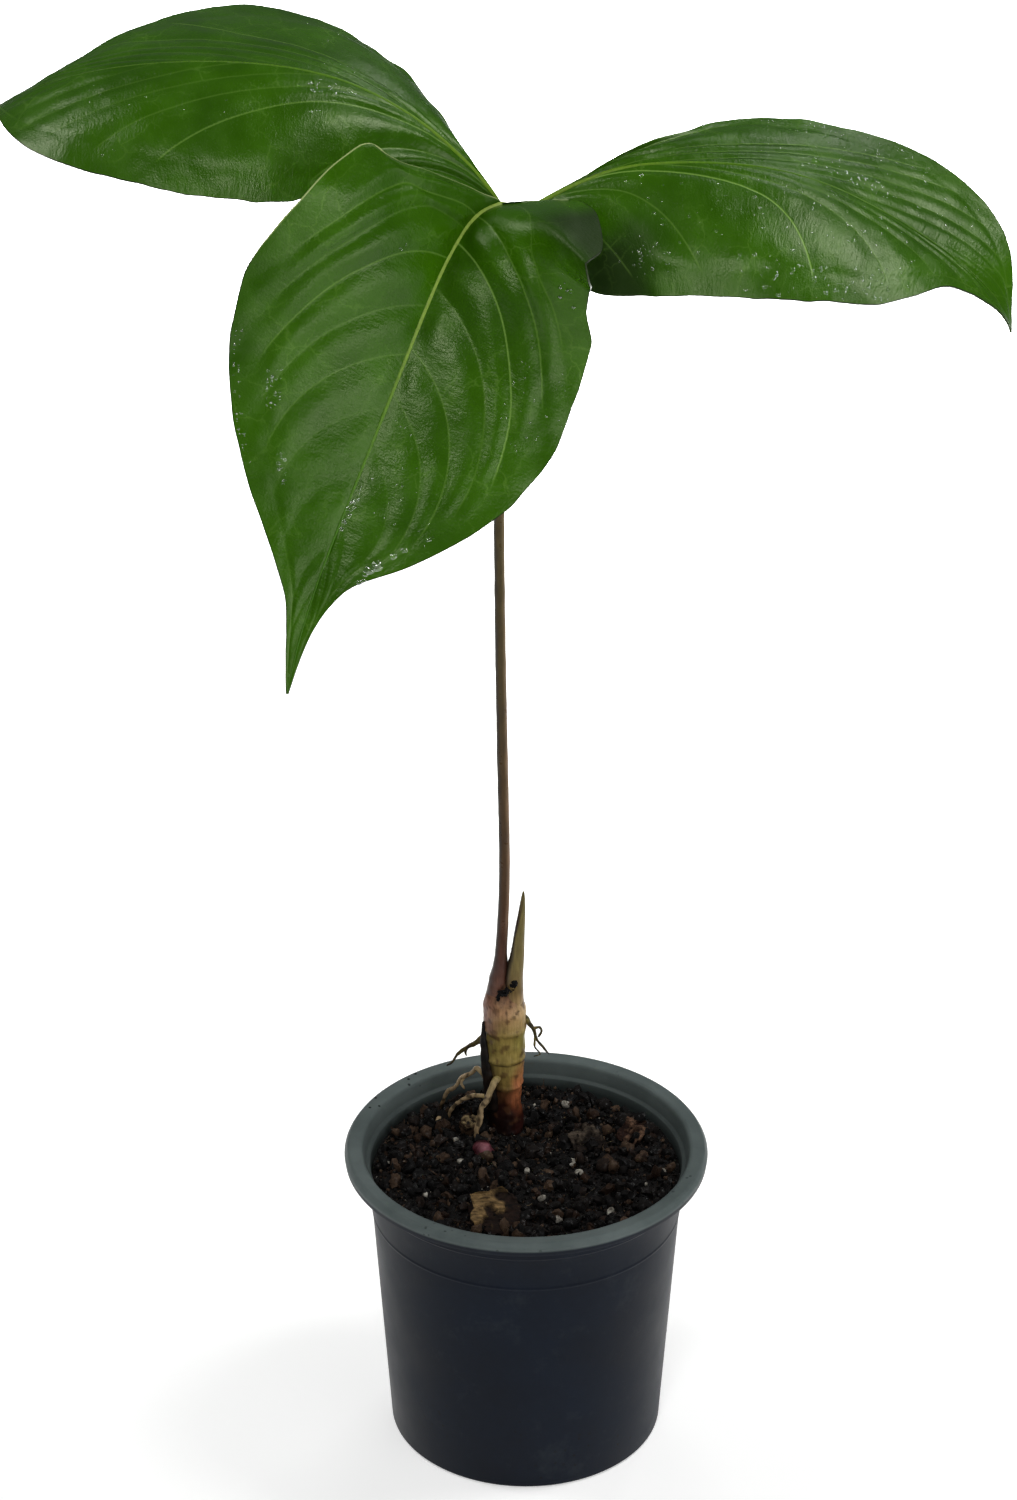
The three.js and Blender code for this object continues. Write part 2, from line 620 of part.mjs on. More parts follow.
// Basal bud: a blunt pink tip that pushes up through the mix in front of the stem
const BUD_STATIONS = [
  [-15.2, 15, 91, 2.6],
  [-14.8, 11.6, 95.6, 3.4],
  [-14.3, 8.4, 98, 3.3],
  [-13.8, 5.6, 99.2, 2.4],
  [-13.4, 3.6, 99.4, 1.1],
];

// Perlite grains, seen white on the mix: [x, y, radius]
const GRAINS = [
  [13.7, 37.4, 1.3], [-23.4, 15.9, 1.1], [27.5, -26.4, 1.6], [10.2, -31.1, 1.4], [0.3, -3.2, 1.3],
  [15.2, 2.3, 1.4], [17.5, -4.4, 1.3], [45.2, -3.8, 1.2], [-21.5, 1.1, 1.3], [-46.2, 1.1, 1.1],
  [5, -20, 1.3], [-33, -18, 1.2],
];

function grain([x, y, radius], i, grow = 0) {
  const random = seeded(100 + i);
  const geometry = welded(new THREE.IcosahedronGeometry(1, 0));
  const size = radius + grow;
  const stretch = () => size * (0.85 + random() * 0.35);
  geometry.rotateZ(random() * 6).scale(stretch(), stretch(), stretch());
  geometry.translate(x, y, soilHeight(x, y) + radius * 0.25);
  return solidOf(geometry);
}

function add(group, name, solid, colour, roughness) {
  const mesh = new THREE.Mesh(geometryOf(solid), material(colour, roughness));
  mesh.name = name;
  group.add(mesh);
}

const plant = new THREE.Group();

let soil = makeSoil().subtract(makeStem(SOCKET_GAP)).subtract(limb(BUD_STATIONS, 8, SOCKET_GAP));
CHIPS.forEach(({ size, centre, turn, seed }) => {
  soil = soil.subtract(chip(size, centre, turn, seed, SOCKET_GAP));
});
GRAINS.forEach((item, i) => {
  soil = soil.subtract(grain(item, i, SOCKET_GAP));
});

add(plant, 'pot', makePot(), COLOURS.pot, 0.5);
add(plant, 'soil', soil, COLOURS.soil, 0.95);
add(plant, 'stem', makeStem(), COLOURS.stem, 0.6);
add(plant, 'petiole', makePetiole(), COLOURS.petiole, 0.5);
add(plant, 'new_leaf', limb(SPEAR_STATIONS, 10), COLOURS.spear, 0.5);
LEAFLETS.forEach((leaflet) => {
  add(plant, leaflet.name, makeLeaflet(leaflet).add(makeStalk(leaflet)), COLOURS.leaf, 0.35);
});
add(plant, 'basal_bud', limb(BUD_STATIONS, 8), COLOURS.bud, 0.6);
CHIPS.forEach(({ name, size, centre, turn, seed, colour }) => {
  add(plant, name, chip(size, centre, turn, seed), colour, 0.9);
});
GRAINS.forEach((item, i) => {
  add(plant, `perlite_${String(i + 1).padStart(2, '0')}`, grain(item, i), COLOURS.perlite, 0.9);
});

export default plant;
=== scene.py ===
"""The looks of a potted anthurium: a nursery pot of moulded polypropylene, moist potting mix, a short
ringed stem with its roots, a long petiole and three glossy leaflets with drops of water on them."""
import math
import random

import bpy
import numpy as np
from mathutils import Euler, Matrix, Vector, noise


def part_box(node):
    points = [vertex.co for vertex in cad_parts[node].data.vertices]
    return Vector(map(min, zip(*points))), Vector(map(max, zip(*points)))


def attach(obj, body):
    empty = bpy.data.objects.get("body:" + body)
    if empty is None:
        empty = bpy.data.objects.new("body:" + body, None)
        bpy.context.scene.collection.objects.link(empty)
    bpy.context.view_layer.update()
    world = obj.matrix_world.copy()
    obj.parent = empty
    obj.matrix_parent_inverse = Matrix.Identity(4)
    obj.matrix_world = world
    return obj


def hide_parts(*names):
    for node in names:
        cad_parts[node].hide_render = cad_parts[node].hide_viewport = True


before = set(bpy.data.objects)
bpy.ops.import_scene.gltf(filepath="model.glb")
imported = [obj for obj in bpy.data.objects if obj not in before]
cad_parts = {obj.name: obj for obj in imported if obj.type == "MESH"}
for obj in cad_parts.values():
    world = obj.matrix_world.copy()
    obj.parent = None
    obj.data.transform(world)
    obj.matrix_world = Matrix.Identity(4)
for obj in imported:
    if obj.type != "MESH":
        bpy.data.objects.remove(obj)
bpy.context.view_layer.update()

MM = 0.001
TURN = math.tau

# Sizes in millimetres, from the frame or measured on the part. The photograph shows the rim this
# much higher than the part's own.
RIM_RISE = 2
POT_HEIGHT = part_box("pot")[1].z / MM + RIM_RISE
RIM_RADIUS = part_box("pot")[1].x / MM
MOUTH_RADIUS = RIM_RADIUS - 6.2
NECK_RADIUS = RIM_RADIUS - 6.4
BASE_RADIUS = RIM_RADIUS - 14.5
INNER_RADIUS = MOUTH_RADIUS - 2.9
POT_WALL = 1.5
FOOT_DEPTH = 1.6
FLOOR_LEVEL = 3.2
PAD_RADIUS = 12
LIP_DROP = 4.6
RAISED_LINE = 83
NECK_STEP = 96
# How far the outside leans out for its height, below and above the raised line, and the radius at
# the base of the line that it follows above
WALL_LEAN = 5.5 / RAISED_LINE
NECK_LEAN = 0.175
NECK_START = BASE_RADIUS - 9.1
DRAIN_HOLES = 8
DRAIN_RADIUS = 2.4
DRAIN_CIRCLE = 32
SOIL_LEVEL = POT_HEIGHT - RIM_RISE - 7
STEM_X = -7
STEM_Y = 29
JUNCTION = (-3.5, 2, 424.5)
BLADE_THICKNESS = 0.55
# How far out a blade takes on its outer slope
SLOPE_SPAN = 55

# A blade's rows crowd towards its base and its columns towards the midrib, by these powers
BLADE_ROWS = 300
BLADE_COLUMNS = 96
ROW_CROWD = 1.8
COLUMN_CROWD = 1.25
MIDRIB_STEPS = 320
# Share of the way out to the margin where the loop of the side veins runs
LOOP_SHARE = 0.81


# Helpers for pieces

def add(operator, name, **settings):
    """Adds an object with an operator, and names it and its data"""
    bpy.ops.object.select_all(action="DESELECT")
    operator(**settings)
    made = bpy.context.object
    made.name = name
    made.data.name = name
    return made


def choose(*objects):
    """Selects these objects alone and makes the first one active"""
    bpy.ops.object.select_all(action="DESELECT")
    for item in objects:
        item.select_set(True)
    bpy.context.view_layer.objects.active = objects[0]


def edit(piece, *steps):
    """Takes the whole of a piece through edit mode steps"""
    choose(piece)
    bpy.ops.object.mode_set(mode="EDIT")
    bpy.ops.mesh.select_all(action="SELECT")
    for step in steps:
        step()
    bpy.ops.object.mode_set(mode="OBJECT")


def weld():
    bpy.ops.mesh.remove_doubles(threshold=0.000002)


def face_outwards():
    bpy.ops.mesh.normals_make_consistent(inside=False)


def points_of(piece):
    """The vertices of a piece in millimetres"""
    places = np.empty(len(piece.data.vertices) * 3)
    piece.data.vertices.foreach_get("co", places)
    return places.reshape(-1, 3) / MM


def move_points(piece, places):
    piece.data.vertices.foreach_set("co", (np.asarray(places) * MM).ravel())
    piece.data.update()


def keep(piece, name, values):
    """Keeps a number or a triple for each vertex, for the material to read"""
    values = np.asarray(values, np.float32)
    kind, key = ("FLOAT", "value") if values.ndim == 1 else ("FLOAT_VECTOR", "vector")
    layer = piece.data.attributes.new(name, kind, "POINT")
    layer.data.foreach_set(key, values.ravel())


def grid_piece(name, places, **fields):
    """A grid laid over a table of places in millimetres, with tables of what each vertex keeps"""
    rows, columns = places.shape[0] - 1, places.shape[1] - 1
    piece = add(bpy.ops.mesh.primitive_grid_add, name, x_subdivisions=columns, y_subdivisions=rows,
                size=2)
    flat = np.empty(len(piece.data.vertices) * 3)
    piece.data.vertices.foreach_get("co", flat)
    flat = flat.reshape(-1, 3)
    column = np.rint((flat[:, 0] + 1) / 2 * columns).astype(int)
    row = np.rint((flat[:, 1] + 1) / 2 * rows).astype(int)
    move_points(piece, places[row, column])
    for field, values in fields.items():
        keep(piece, field, values[row, column])
    return piece


def smooth(piece, angle):
    choose(piece)
    bpy.ops.object.shade_smooth_by_angle(angle=math.radians(angle))


def apply_modifier(piece, kind, **settings):
    choose(piece)
    modifier = piece.modifiers.new(kind.lower(), kind)
    for name, value in settings.items():
        setattr(modifier, name, value)
    bpy.ops.object.modifier_apply(modifier=modifier.name)


def dress(piece, slot, *materials):
    """Gives a piece its materials and lets it ride on the part. slot is not used."""
    for item in materials:
        piece.data.materials.append(item)
    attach(piece, "root")


def joined(name, pieces):
    choose(*pieces)
    bpy.ops.object.join()
    pieces[0].name = name
    pieces[0].data.name = name
    return pieces[0]


def scatter(name, templates, settings):
    """Copies of the templates, each with its own mesh, place, turn, size and tone, in one piece"""
    copies = []
    for i, (place, turn, size, tone) in enumerate(settings):
        mesh = templates[i % len(templates)].data.copy()
        mesh.transform(Matrix.LocRotScale(Vector(place) * MM, turn, Vector(size)))
        copy = bpy.data.objects.new(f"{name}_{i}", mesh)
        bpy.context.collection.objects.link(copy)
        keep(copy, "tone", np.full(len(mesh.vertices), tone))
        copies.append(copy)
    for template in templates:
        bpy.data.objects.remove(template)
    piece = joined(name, copies)
    smooth(piece, 50)
    return piece


def noise_at(places, size, seed=0):
    """Smooth noise from -1 to 1 at points in millimetres, with features of about this size"""
    flat = np.asarray(places).reshape(-1, 3)
    shift = Vector((seed * 17.3, seed * 5.1, seed * 9.7))
    values = np.array([noise.noise(Vector(point) / size + shift) for point in flat])
    return values.reshape(np.asarray(places).shape[:-1])


def ease(low, high, values):
    """0 below low, 1 above high and a smooth step between"""
    t = np.clip((values - low) / (high - low), 0, 1)
    return t * t * (3 - 2 * t)


def through(rows, column, stations):
    """A smooth curve through [station, value, ...] rows that never swings past its values"""
    x = np.array([row[0] for row in rows], float)
    y = np.array([row[column] for row in rows], float)
    rise = np.diff(y) / np.diff(x)
    slope = np.concatenate([rise[:1], np.zeros(len(x) - 2), rise[-1:]])
    before, after = rise[:-1], rise[1:]
    level = before * after <= 0
    total = np.where(level, 1, before + after)
    slope[1:-1] = np.where(level, 0, 2 * before * after / total)
    s = np.clip(stations, x[0], x[-1])
    i = np.clip(np.searchsorted(x, s, side="right") - 1, 0, len(x) - 2)
    span = x[i + 1] - x[i]
    t = (s - x[i]) / span
    start = (2 * t**3 - 3 * t**2 + 1) * y[i] + (t**3 - 2 * t**2 + t) * span * slope[i]
    return start + (3 * t**2 - 2 * t**3) * y[i + 1] + (t**3 - t**2) * span * slope[i + 1]


# Colour and materials

def linear(hex_colour):
    """An sRGB hex colour as linear red, green, blue and alpha"""
    channels = [int(hex_colour[i:i + 2], 16) / 255 for i in (1, 3, 5)]
    return tuple(c / 12.92 if c <= 0.04045 else ((c + 0.055) / 1.055) ** 2.4 for c in channels) + (1,)


def along_colours(stops, values):
    """Linear colours at values along stops of place and hex colour"""
    places = [place for place, colour in stops]
    table = np.array([linear(colour)[:3] for place, colour in stops])
    return np.stack([np.interp(values, places, table[:, i]) for i in range(3)], axis=-1)


def blend(first, second, share):
    """A table of colours mixed by a table of shares with another one, or with one hex colour"""
    if isinstance(second, str):
        second = np.array(linear(second)[:3])
    share = np.asarray(share)[..., None]
    return first * (1 - share) + second * share


def fill(socket, value):
    """Sets a socket to a value, or links it to a socket or to the first output in use of a node"""
    if isinstance(value, bpy.types.Node):
        value = next(output for output in value.outputs if output.enabled)
    if isinstance(value, bpy.types.NodeSocket):
        socket.id_data.links.new(value, socket)
    else:
        socket.default_value = value


def shade(material, kind, *inputs, stops=None, **named):
    """Adds a shader node. Inputs fill its sockets in use one by one, names with a capital fill the
    sockets of those names, other names are its settings, and stops are the stops of a ramp."""
    made = material.node_tree.nodes.new("ShaderNode" + kind)
    for name, value in named.items():
        if name.islower():
            setattr(made, name, value)
    for socket, value in zip([socket for socket in made.inputs if socket.enabled], inputs):
        fill(socket, value)
    for name, value in named.items():
        if not name.islower():
            fill(made.inputs[name], value)
    if stops:
        elements = made.color_ramp.elements
        elements[0].position, elements[0].color = stops[0][0], linear(stops[0][1])
        elements[1].position, elements[1].color = stops[-1][0], linear(stops[-1][1])
        for place, colour in stops[1:-1]:
            elements.new(place).color = linear(colour)
    return made


def connect(material, **values):
    """Sets or links the Principled sockets of these names, with _ for a space"""
    surface = material.node_tree.nodes["Principled BSDF"]
    for name, value in values.items():
        fill(surface.inputs[name.replace("_", " ")], value)


def new_material(name, **even):
    """A material whose Principled surface has these even values"""
    material = bpy.data.materials.new(name)
    material.use_nodes = True
    connect(material, **even)
    return material


# The Scale of a pattern is how many of its features lie in a metre, so 320 sets specks 3 mm apart.
# On the leaflets it is how many lie in a millimetre, because they read blade_mm.

def moulded_polypropylene():
    """Polypropylene, injection moulded with a fine matt texture: slate blue outside, and a greener
    grey on the rolled lip and inside, where light and dust have dulled it. It gives a broad soft
    sheen, faint dust, and dark specks of mix near the foot and on the lip."""
    made = new_material("pot_polypropylene", IOR=1.49, Specular_IOR_Level=0.09)
    place = shade(made, "TexCoord").outputs["Object"]
    x, y, height = shade(made, "SeparateXYZ", place).outputs
    flat = shade(made, "CombineXYZ", x, y)
    radius = shade(made, "VectorMath", flat, operation="LENGTH")
    # The outside leans out by WALL_LEAN as far as the raised line, and by NECK_LEAN above it
    wall = shade(made, "Math", height, WALL_LEAN, BASE_RADIUS * MM, operation="MULTIPLY_ADD")
    neck = shade(made, "Math", height, NECK_LEAN, NECK_START * MM, operation="MULTIPLY_ADD")
    outer = shade(made, "Math", wall, neck, operation="MAXIMUM")
    inset = shade(made, "Math", outer, radius, operation="SUBTRACT")
    inside = shade(made, "MapRange", inset, 0.5 * MM, 0.9 * MM, interpolation_type="SMOOTHSTEP")
    on_lip = shade(made, "MapRange", height, (POT_HEIGHT - 3.4) * MM, (POT_HEIGHT - 2.2) * MM,
                   interpolation_type="SMOOTHSTEP")
    green = shade(made, "Math", inside, on_lip, operation="MAXIMUM")
    # Slight clouds about 35 mm wide
    cloud = shade(made, "TexNoise", Vector=place, Scale=28, Detail=6, Roughness=0.6)
    slate = shade(made, "ValToRGB", cloud, stops=[(0.3, "#060c17"), (0.7, "#0d1623")])
    dull = shade(made, "ValToRGB", cloud, stops=[(0.3, "#4d5655"), (0.7, "#687170")])
    # The inside wall is painted darker towards the mix
    depth = shade(made, "MapRange", height, SOIL_LEVEL * MM, (POT_HEIGHT - 2) * MM, 0.85, 0)
    darker_inside = shade(made, "Mix", depth, dull, linear("#232827"), data_type="RGBA")
    plastic = shade(made, "Mix", green, slate, darker_inside, data_type="RGBA")
    # Dust films in patches about 17 mm wide
    patch = shade(made, "TexNoise", Vector=place, Scale=60, Detail=8, Roughness=0.75)
    film = shade(made, "MapRange", patch, 0.54, 0.74, 0, 0.13)
    dusty = shade(made, "Mix", film, plastic, linear("#4a504d"), data_type="RGBA")
    # Specks of mix 0.3 to 1 mm wide and 3 mm apart, thickest near the foot and on the lip
    speck = shade(made, "TexVoronoi", Vector=place, Scale=320, Randomness=1)
    dot = shade(made, "MapRange", speck, 0.13, 0.2, 1, 0)
    foot = shade(made, "MapRange", height, 5 * MM, 42 * MM, 1, 0)
    where = shade(made, "Math", foot, on_lip, operation="ADD")
    spread = shade(made, "TexNoise", Vector=place, Scale=45, Detail=3)
    crowd = shade(made, "MapRange", spread, 0.5, 0.62)
    gate = shade(made, "Math", where, crowd, operation="MULTIPLY")
    dots = shade(made, "Math", dot, gate, operation="MULTIPLY")
    colour = shade(made, "Mix", dots, dusty, linear("#0d0b0a"), data_type="RGBA")
    rough = shade(made, "MapRange", cloud, 0.3, 0.7, 0.38, 0.52)
    # Mould grain 0.7 mm wide, coarser than the real one so that it shows
    grain = shade(made, "TexNoise", Vector=place, Scale=1500, Detail=2)
    bump = shade(made, "Bump", Height=grain, Strength=0.25, Distance=0.05 * MM)
    connect(made, Base_Color=colour, Roughness=rough, Normal=bump)
    return made


def moist_peat():
    """Moist peat and composted bark: crumbs of near-black brown that are matt, with small wet faces
    that glint. The tone of each crumb is kept with its mesh."""
    made = new_material("peat_crumbs", IOR=1.4, Specular_IOR_Level=0.3)
    place = shade(made, "TexCoord").outputs["Object"]
    tone = shade(made, "Attribute", attribute_name="tone").outputs["Fac"]
    # Grains about 1 mm wide, and wet faces about 1.5 mm wide
    fine = shade(made, "TexNoise", Vector=place, Scale=900, Detail=5, Roughness=0.7)
    shift = shade(made, "Math", fine, 0.5, -0.25, operation="MULTIPLY_ADD")
    mixed = shade(made, "Math", tone, shift, operation="ADD")
    colour = shade(made, "ValToRGB", mixed,
                   stops=[(0.1, "#050404"), (0.35, "#0f0a08"), (0.55, "#26180f"), (0.72, "#453528"),
                          (0.9, "#7a6a54")])
    wet = shade(made, "TexNoise", Vector=place, Scale=700, Detail=2)
    rough = shade(made, "MapRange", wet, 0.5, 0.62, 0.92, 0.22)
    bump = shade(made, "Bump", Height=fine, Strength=0.7, Distance=0.35 * MM)
    connect(made, Base_Color=colour, Roughness=rough, Normal=bump)
    return made


def expanded_perlite():
    """Perlite, expanded by heat: off-white, matt and finely pitted, with brown stains of peat"""
    made = new_material("perlite_expanded", Roughness=0.85, IOR=1.5)
    place = shade(made, "TexCoord").outputs["Object"]
    stain = shade(made, "TexNoise", Vector=place, Scale=600, Detail=4)
    colour = shade(made, "ValToRGB", stain,
                   stops=[(0.35, "#443e36"), (0.5, "#8d887d"), (0.7, "#bdb9af")])
    pits = shade(made, "TexVoronoi", Vector=place, Scale=3000)
    bump = shade(made, "Bump", Height=pits, Strength=0.6, Distance=0.15 * MM)
    connect(made, Base_Color=colour, Normal=bump)
    return made


def conifer_bark():
    """Composted conifer bark: split layers and long fibres, matt. The colour of its top and its
    broken sides is painted on the mesh."""
    made = new_material("conifer_bark", Roughness=0.88, IOR=1.45, Specular_IOR_Level=0.2)
    place = shade(made, "TexCoord").outputs["Object"]
    painted = shade(made, "Attribute", attribute_name="skin").outputs["Vector"]
    drawn = shade(made, "Mapping", Vector=place, Scale=(0.35, 1, 1.6))
    fibre = shade(made, "TexNoise", Vector=drawn, Scale=750, Detail=7, Roughness=0.7)
    strength = shade(made, "MapRange", fibre, 0.36, 0.66, 0.15, 1.4)
    colour = shade(made, "VectorMath", painted, strength, operation="SCALE")
    bump = shade(made, "Bump", Height=fibre, Strength=0.8, Distance=0.5 * MM)
    connect(made, Base_Color=colour, Normal=bump)
    return made


def living_skin(name, roughness, streaks):
    """The skin of a living stem, root or sheath: a thin wax over coloured cells. The colour is
    painted on its mesh, with lengthwise streaks and pores."""
    made = new_material(name, IOR=1.42, Specular_IOR_Level=0.3)
    place = shade(made, "TexCoord").outputs["Object"]
    painted = shade(made, "Attribute", attribute_name="skin").outputs["Vector"]
    drawn = shade(made, "Mapping", Vector=place, Scale=(1, 1, 0.12))
    streak = shade(made, "TexNoise", Vector=drawn, Scale=1100, Detail=4)
    strength = shade(made, "MapRange", streak, 0.35, 0.65, 1 - streaks, 1 + streaks)
    scaled = shade(made, "VectorMath", painted, strength, operation="SCALE")
    pore = shade(made, "TexVoronoi", Vector=place, Scale=1300)
    dot = shade(made, "MapRange", pore, 0.1, 0.22, 0.65, 1)
    colour = shade(made, "VectorMath", scaled, dot, operation="SCALE")
    uneven = shade(made, "TexNoise", Vector=place, Scale=420, Detail=3)
    rough = shade(made, "MapRange", uneven, 0.3, 0.7, roughness - 0.1, roughness + 0.15)
    bump = shade(made, "Bump", Height=streak, Strength=0.4, Distance=0.12 * MM)
    connect(made, Base_Color=colour, Roughness=rough, Normal=bump)
    return made


def leaf_cuticle():
    """The upper face of an anthurium leaflet: a glossy wax cuticle over green cells. Side veins
    and their loop near the margin are yellow-green lines, a fine net of small veins lies between
    them, and pebbled cells break the sheen. Where a lobe lies in shade, a darker green is painted on as
    shade."""
    made = new_material("leaf_cuticle", IOR=1.45, Specular_IOR_Level=0.4,
                        Specular_Tint=linear("#f2ffd0"))
    across = shade(made, "Attribute", attribute_name="blade_mm").outputs["Vector"]
    kept = {key: shade(made, "Attribute", attribute_name=key).outputs["Fac"]
            for key in ("vein_phase", "vein_gap", "vein_show", "edge_gap", "loop_gap", "edge_pale",
                        "painted_shade")}
    nearest = shade(made, "Math", kept["vein_phase"], 0.5, operation="PINGPONG")
    away = shade(made, "Math", nearest, kept["vein_gap"], operation="MULTIPLY")
    line = shade(made, "MapRange", away, 0.08, 0.42, 1, 0, interpolation_type="SMOOTHSTEP")
    side = shade(made, "Math", line, kept["vein_show"], operation="MULTIPLY")
    loop = shade(made, "MapRange", kept["loop_gap"], 0.05, 0.4, 0.14, 0,
                 interpolation_type="SMOOTHSTEP")
    lines = shade(made, "Math", side, loop, operation="MAXIMUM")
    # A faint net of small veins: cells about 10 mm wide with wandering sides, seen in patches
    wander = shade(made, "TexNoise", Vector=across, Scale=0.2, Detail=3).outputs["Color"]
    bent = shade(made, "VectorMath", wander, (7, 7, 0), across, operation="MULTIPLY_ADD")
    net = shade(made, "TexVoronoi", Vector=bent, Scale=0.1, feature="DISTANCE_TO_EDGE")
    thread = shade(made, "MapRange", net, 0.005, 0.03, 1, 0)
    patch = shade(made, "TexNoise", Vector=across, Scale=0.045, Detail=5)
    seen = shade(made, "MapRange", patch, 0.45, 0.62, 0, 0.16)
    faint = shade(made, "Math", thread, seen, operation="MULTIPLY")
    veins = shade(made, "Math", lines, faint, operation="MAXIMUM")
    young = shade(made, "ValToRGB", patch, stops=[(0.32, "#274e00"), (0.68, "#356200")])
    # Painted shade: a darker green on the lobes that lie in shade
    green = shade(made, "Mix", kept["painted_shade"], young, linear("#142e00"), data_type="RGBA")
    veined = shade(made, "Mix", veins, green, linear("#7fa64a"), data_type="RGBA")
    rim = shade(made, "MapRange", kept["edge_gap"], 0.12, 0.45, 0.9, 0,
                interpolation_type="SMOOTHSTEP")
    margin = shade(made, "Mix", kept["edge_pale"], linear("#12200a"), linear("#a9b878"),
                   data_type="RGBA")
    colour = shade(made, "Mix", rim, veined, margin, data_type="RGBA")
    # Fine creases 1 to 2 mm apart that run outwards, over finer pebbled cells
    drawn = shade(made, "Mapping", Vector=across, Scale=(0.4, 1, 1))
    crease = shade(made, "TexNoise", Vector=drawn, Scale=0.8, Detail=3, Roughness=0.55)
    pebble = shade(made, "TexNoise", Vector=across, Scale=1.5, Detail=3, Roughness=0.6)
    relief = shade(made, "Math", crease, 1.2, pebble, operation="MULTIPLY_ADD")
    sunk = shade(made, "Math", lines, -0.8, relief, operation="MULTIPLY_ADD")
    bump = shade(made, "Bump", Height=sunk, Strength=0.36, Distance=0.3 * MM)
    # The wax is uneven in patches about 11 mm wide, and rougher where the painted shade lies
    film = shade(made, "TexNoise", Vector=across, Scale=0.09, Detail=4)
    waxy = shade(made, "MapRange", film, 0.3, 0.7, 0.2, 0.32)
    rough = shade(made, "Math", kept["painted_shade"], 0.3, waxy, operation="MULTIPLY_ADD")
    connect(made, Base_Color=colour, Roughness=rough, Normal=bump)
    return made


def leaf_underside():
    """The under face of a leaflet: paler, greyer and matt, with the small veins raised"""
    made = new_material("leaf_underside", Roughness=0.6, IOR=1.42)
    across = shade(made, "Attribute", attribute_name="blade_mm").outputs["Vector"]
    phase = shade(made, "Attribute", attribute_name="vein_phase").outputs["Fac"]
    gap = shade(made, "Attribute", attribute_name="vein_gap").outputs["Fac"]
    nearest = shade(made, "Math", phase, 0.5, operation="PINGPONG")
    away = shade(made, "Math", nearest, gap, operation="MULTIPLY")
    line = shade(made, "MapRange", away, 0.15, 0.8, 0.8, 0)
    net = shade(made, "TexVoronoi", Vector=across, Scale=0.3, feature="DISTANCE_TO_EDGE")
    thread = shade(made, "MapRange", net, 0.02, 0.08, 0.35, 0)
    veins = shade(made, "Math", line, thread, operation="MAXIMUM")
    patch = shade(made, "TexNoise", Vector=across, Scale=0.06, Detail=4)
    green = shade(made, "ValToRGB", patch, stops=[(0.3, "#3f5c2c"), (0.7, "#5a7545")])
    colour = shade(made, "Mix", veins, green, linear("#8fa368"), data_type="RGBA")
    bump = shade(made, "Bump", Height=veins, Strength=0.6, Distance=0.3 * MM)
    connect(made, Base_Color=colour, Normal=bump)
    return made


def clear_water():
    """Drops of water from misting: clear, and as smooth as surface tension makes them, so that each
    has a small bright glint. A clear coat stands for the glints that the eye sees as brighter."""
    made = new_material("water_drops", Roughness=0.02, IOR=1.333, Transmission_Weight=1,
                        Coat_Weight=1, Coat_IOR=1.8, Coat_Roughness=0.06)
    place = shade(made, "TexCoord").outputs["Object"]
    ripple = shade(made, "TexNoise", Vector=place, Scale=400, Detail=0)
    bump = shade(made, "Bump", Height=ripple, Strength=0.1, Distance=0.1 * MM)
    connect(made, Normal=bump)
    return made


def pale_sweep():
    """The studio sweep: matt white acrylic sheet, lit a little from below, so that shadows stay pale"""
    made = new_material("studio_sweep", Roughness=0.9, Emission_Color=(1, 1, 1, 1),
                        Emission_Strength=0.45)
    place = shade(made, "TexCoord").outputs["Object"]
    tone = shade(made, "TexNoise", Vector=place, Scale=2, Detail=2)
    colour = shade(made, "ValToRGB", tone, stops=[(0.3, "#f2f2f1"), (0.7, "#f4f4f3")])
    connect(made, Base_Color=colour)
    return made


# Pot

def pot_profile():
    """Half of the pot's section, from the middle of its underside round the lip to its floor"""
    lip_inner = RIM_RADIUS - POT_WALL
    return [
        (0, 0),
        (PAD_RADIUS, 0),
        (PAD_RADIUS + 0.8, FOOT_DEPTH),
        (BASE_RADIUS - 5.5, FOOT_DEPTH),
        (BASE_RADIUS - 4.7, 0),
        (BASE_RADIUS - 1, 0),
        (BASE_RADIUS, 1),
        (BASE_RADIUS + 5.45, RAISED_LINE - 0.7),
        (BASE_RADIUS + 5.72, RAISED_LINE),
        (BASE_RADIUS + 5.55, RAISED_LINE + 0.7),
        (NECK_RADIUS - 0.5, NECK_STEP - 0.6),
        (NECK_RADIUS, NECK_STEP),
        (NECK_RADIUS + 0.6, POT_HEIGHT - 2.8),
        (lip_inner - 1.4, POT_HEIGHT - 1.9),
        (lip_inner, POT_HEIGHT - LIP_DROP),
        (RIM_RADIUS - 0.4, POT_HEIGHT - LIP_DROP),
        (RIM_RADIUS, POT_HEIGHT - 1.8),
        (RIM_RADIUS - 1.2, POT_HEIGHT),
        (MOUTH_RADIUS + 0.8, POT_HEIGHT - 0.3),
        (MOUTH_RADIUS, POT_HEIGHT - 1.1),
        (MOUTH_RADIUS - 1, 100.6),
        (MOUTH_RADIUS - 2.3, 99.9),
        (INNER_RADIUS, 92),
        (BASE_RADIUS - POT_WALL, FLOOR_LEVEL + 1),
        (BASE_RADIUS - POT_WALL - 1, FLOOR_LEVEL),
        (0, FLOOR_LEVEL),
    ]


def ease_corners(pot, low, high, offset, segments):
    """Rounds the section's corners between two heights"""
    for vertex in pot.data.vertices:
        vertex.select = low * MM < vertex.co.z < high * MM and vertex.co.x > MM
    choose(pot)
    bpy.ops.object.mode_set(mode="EDIT")
    bpy.ops.mesh.bevel(offset=offset * MM, segments=segments, affect="VERTICES")
    bpy.ops.object.mode_set(mode="OBJECT")


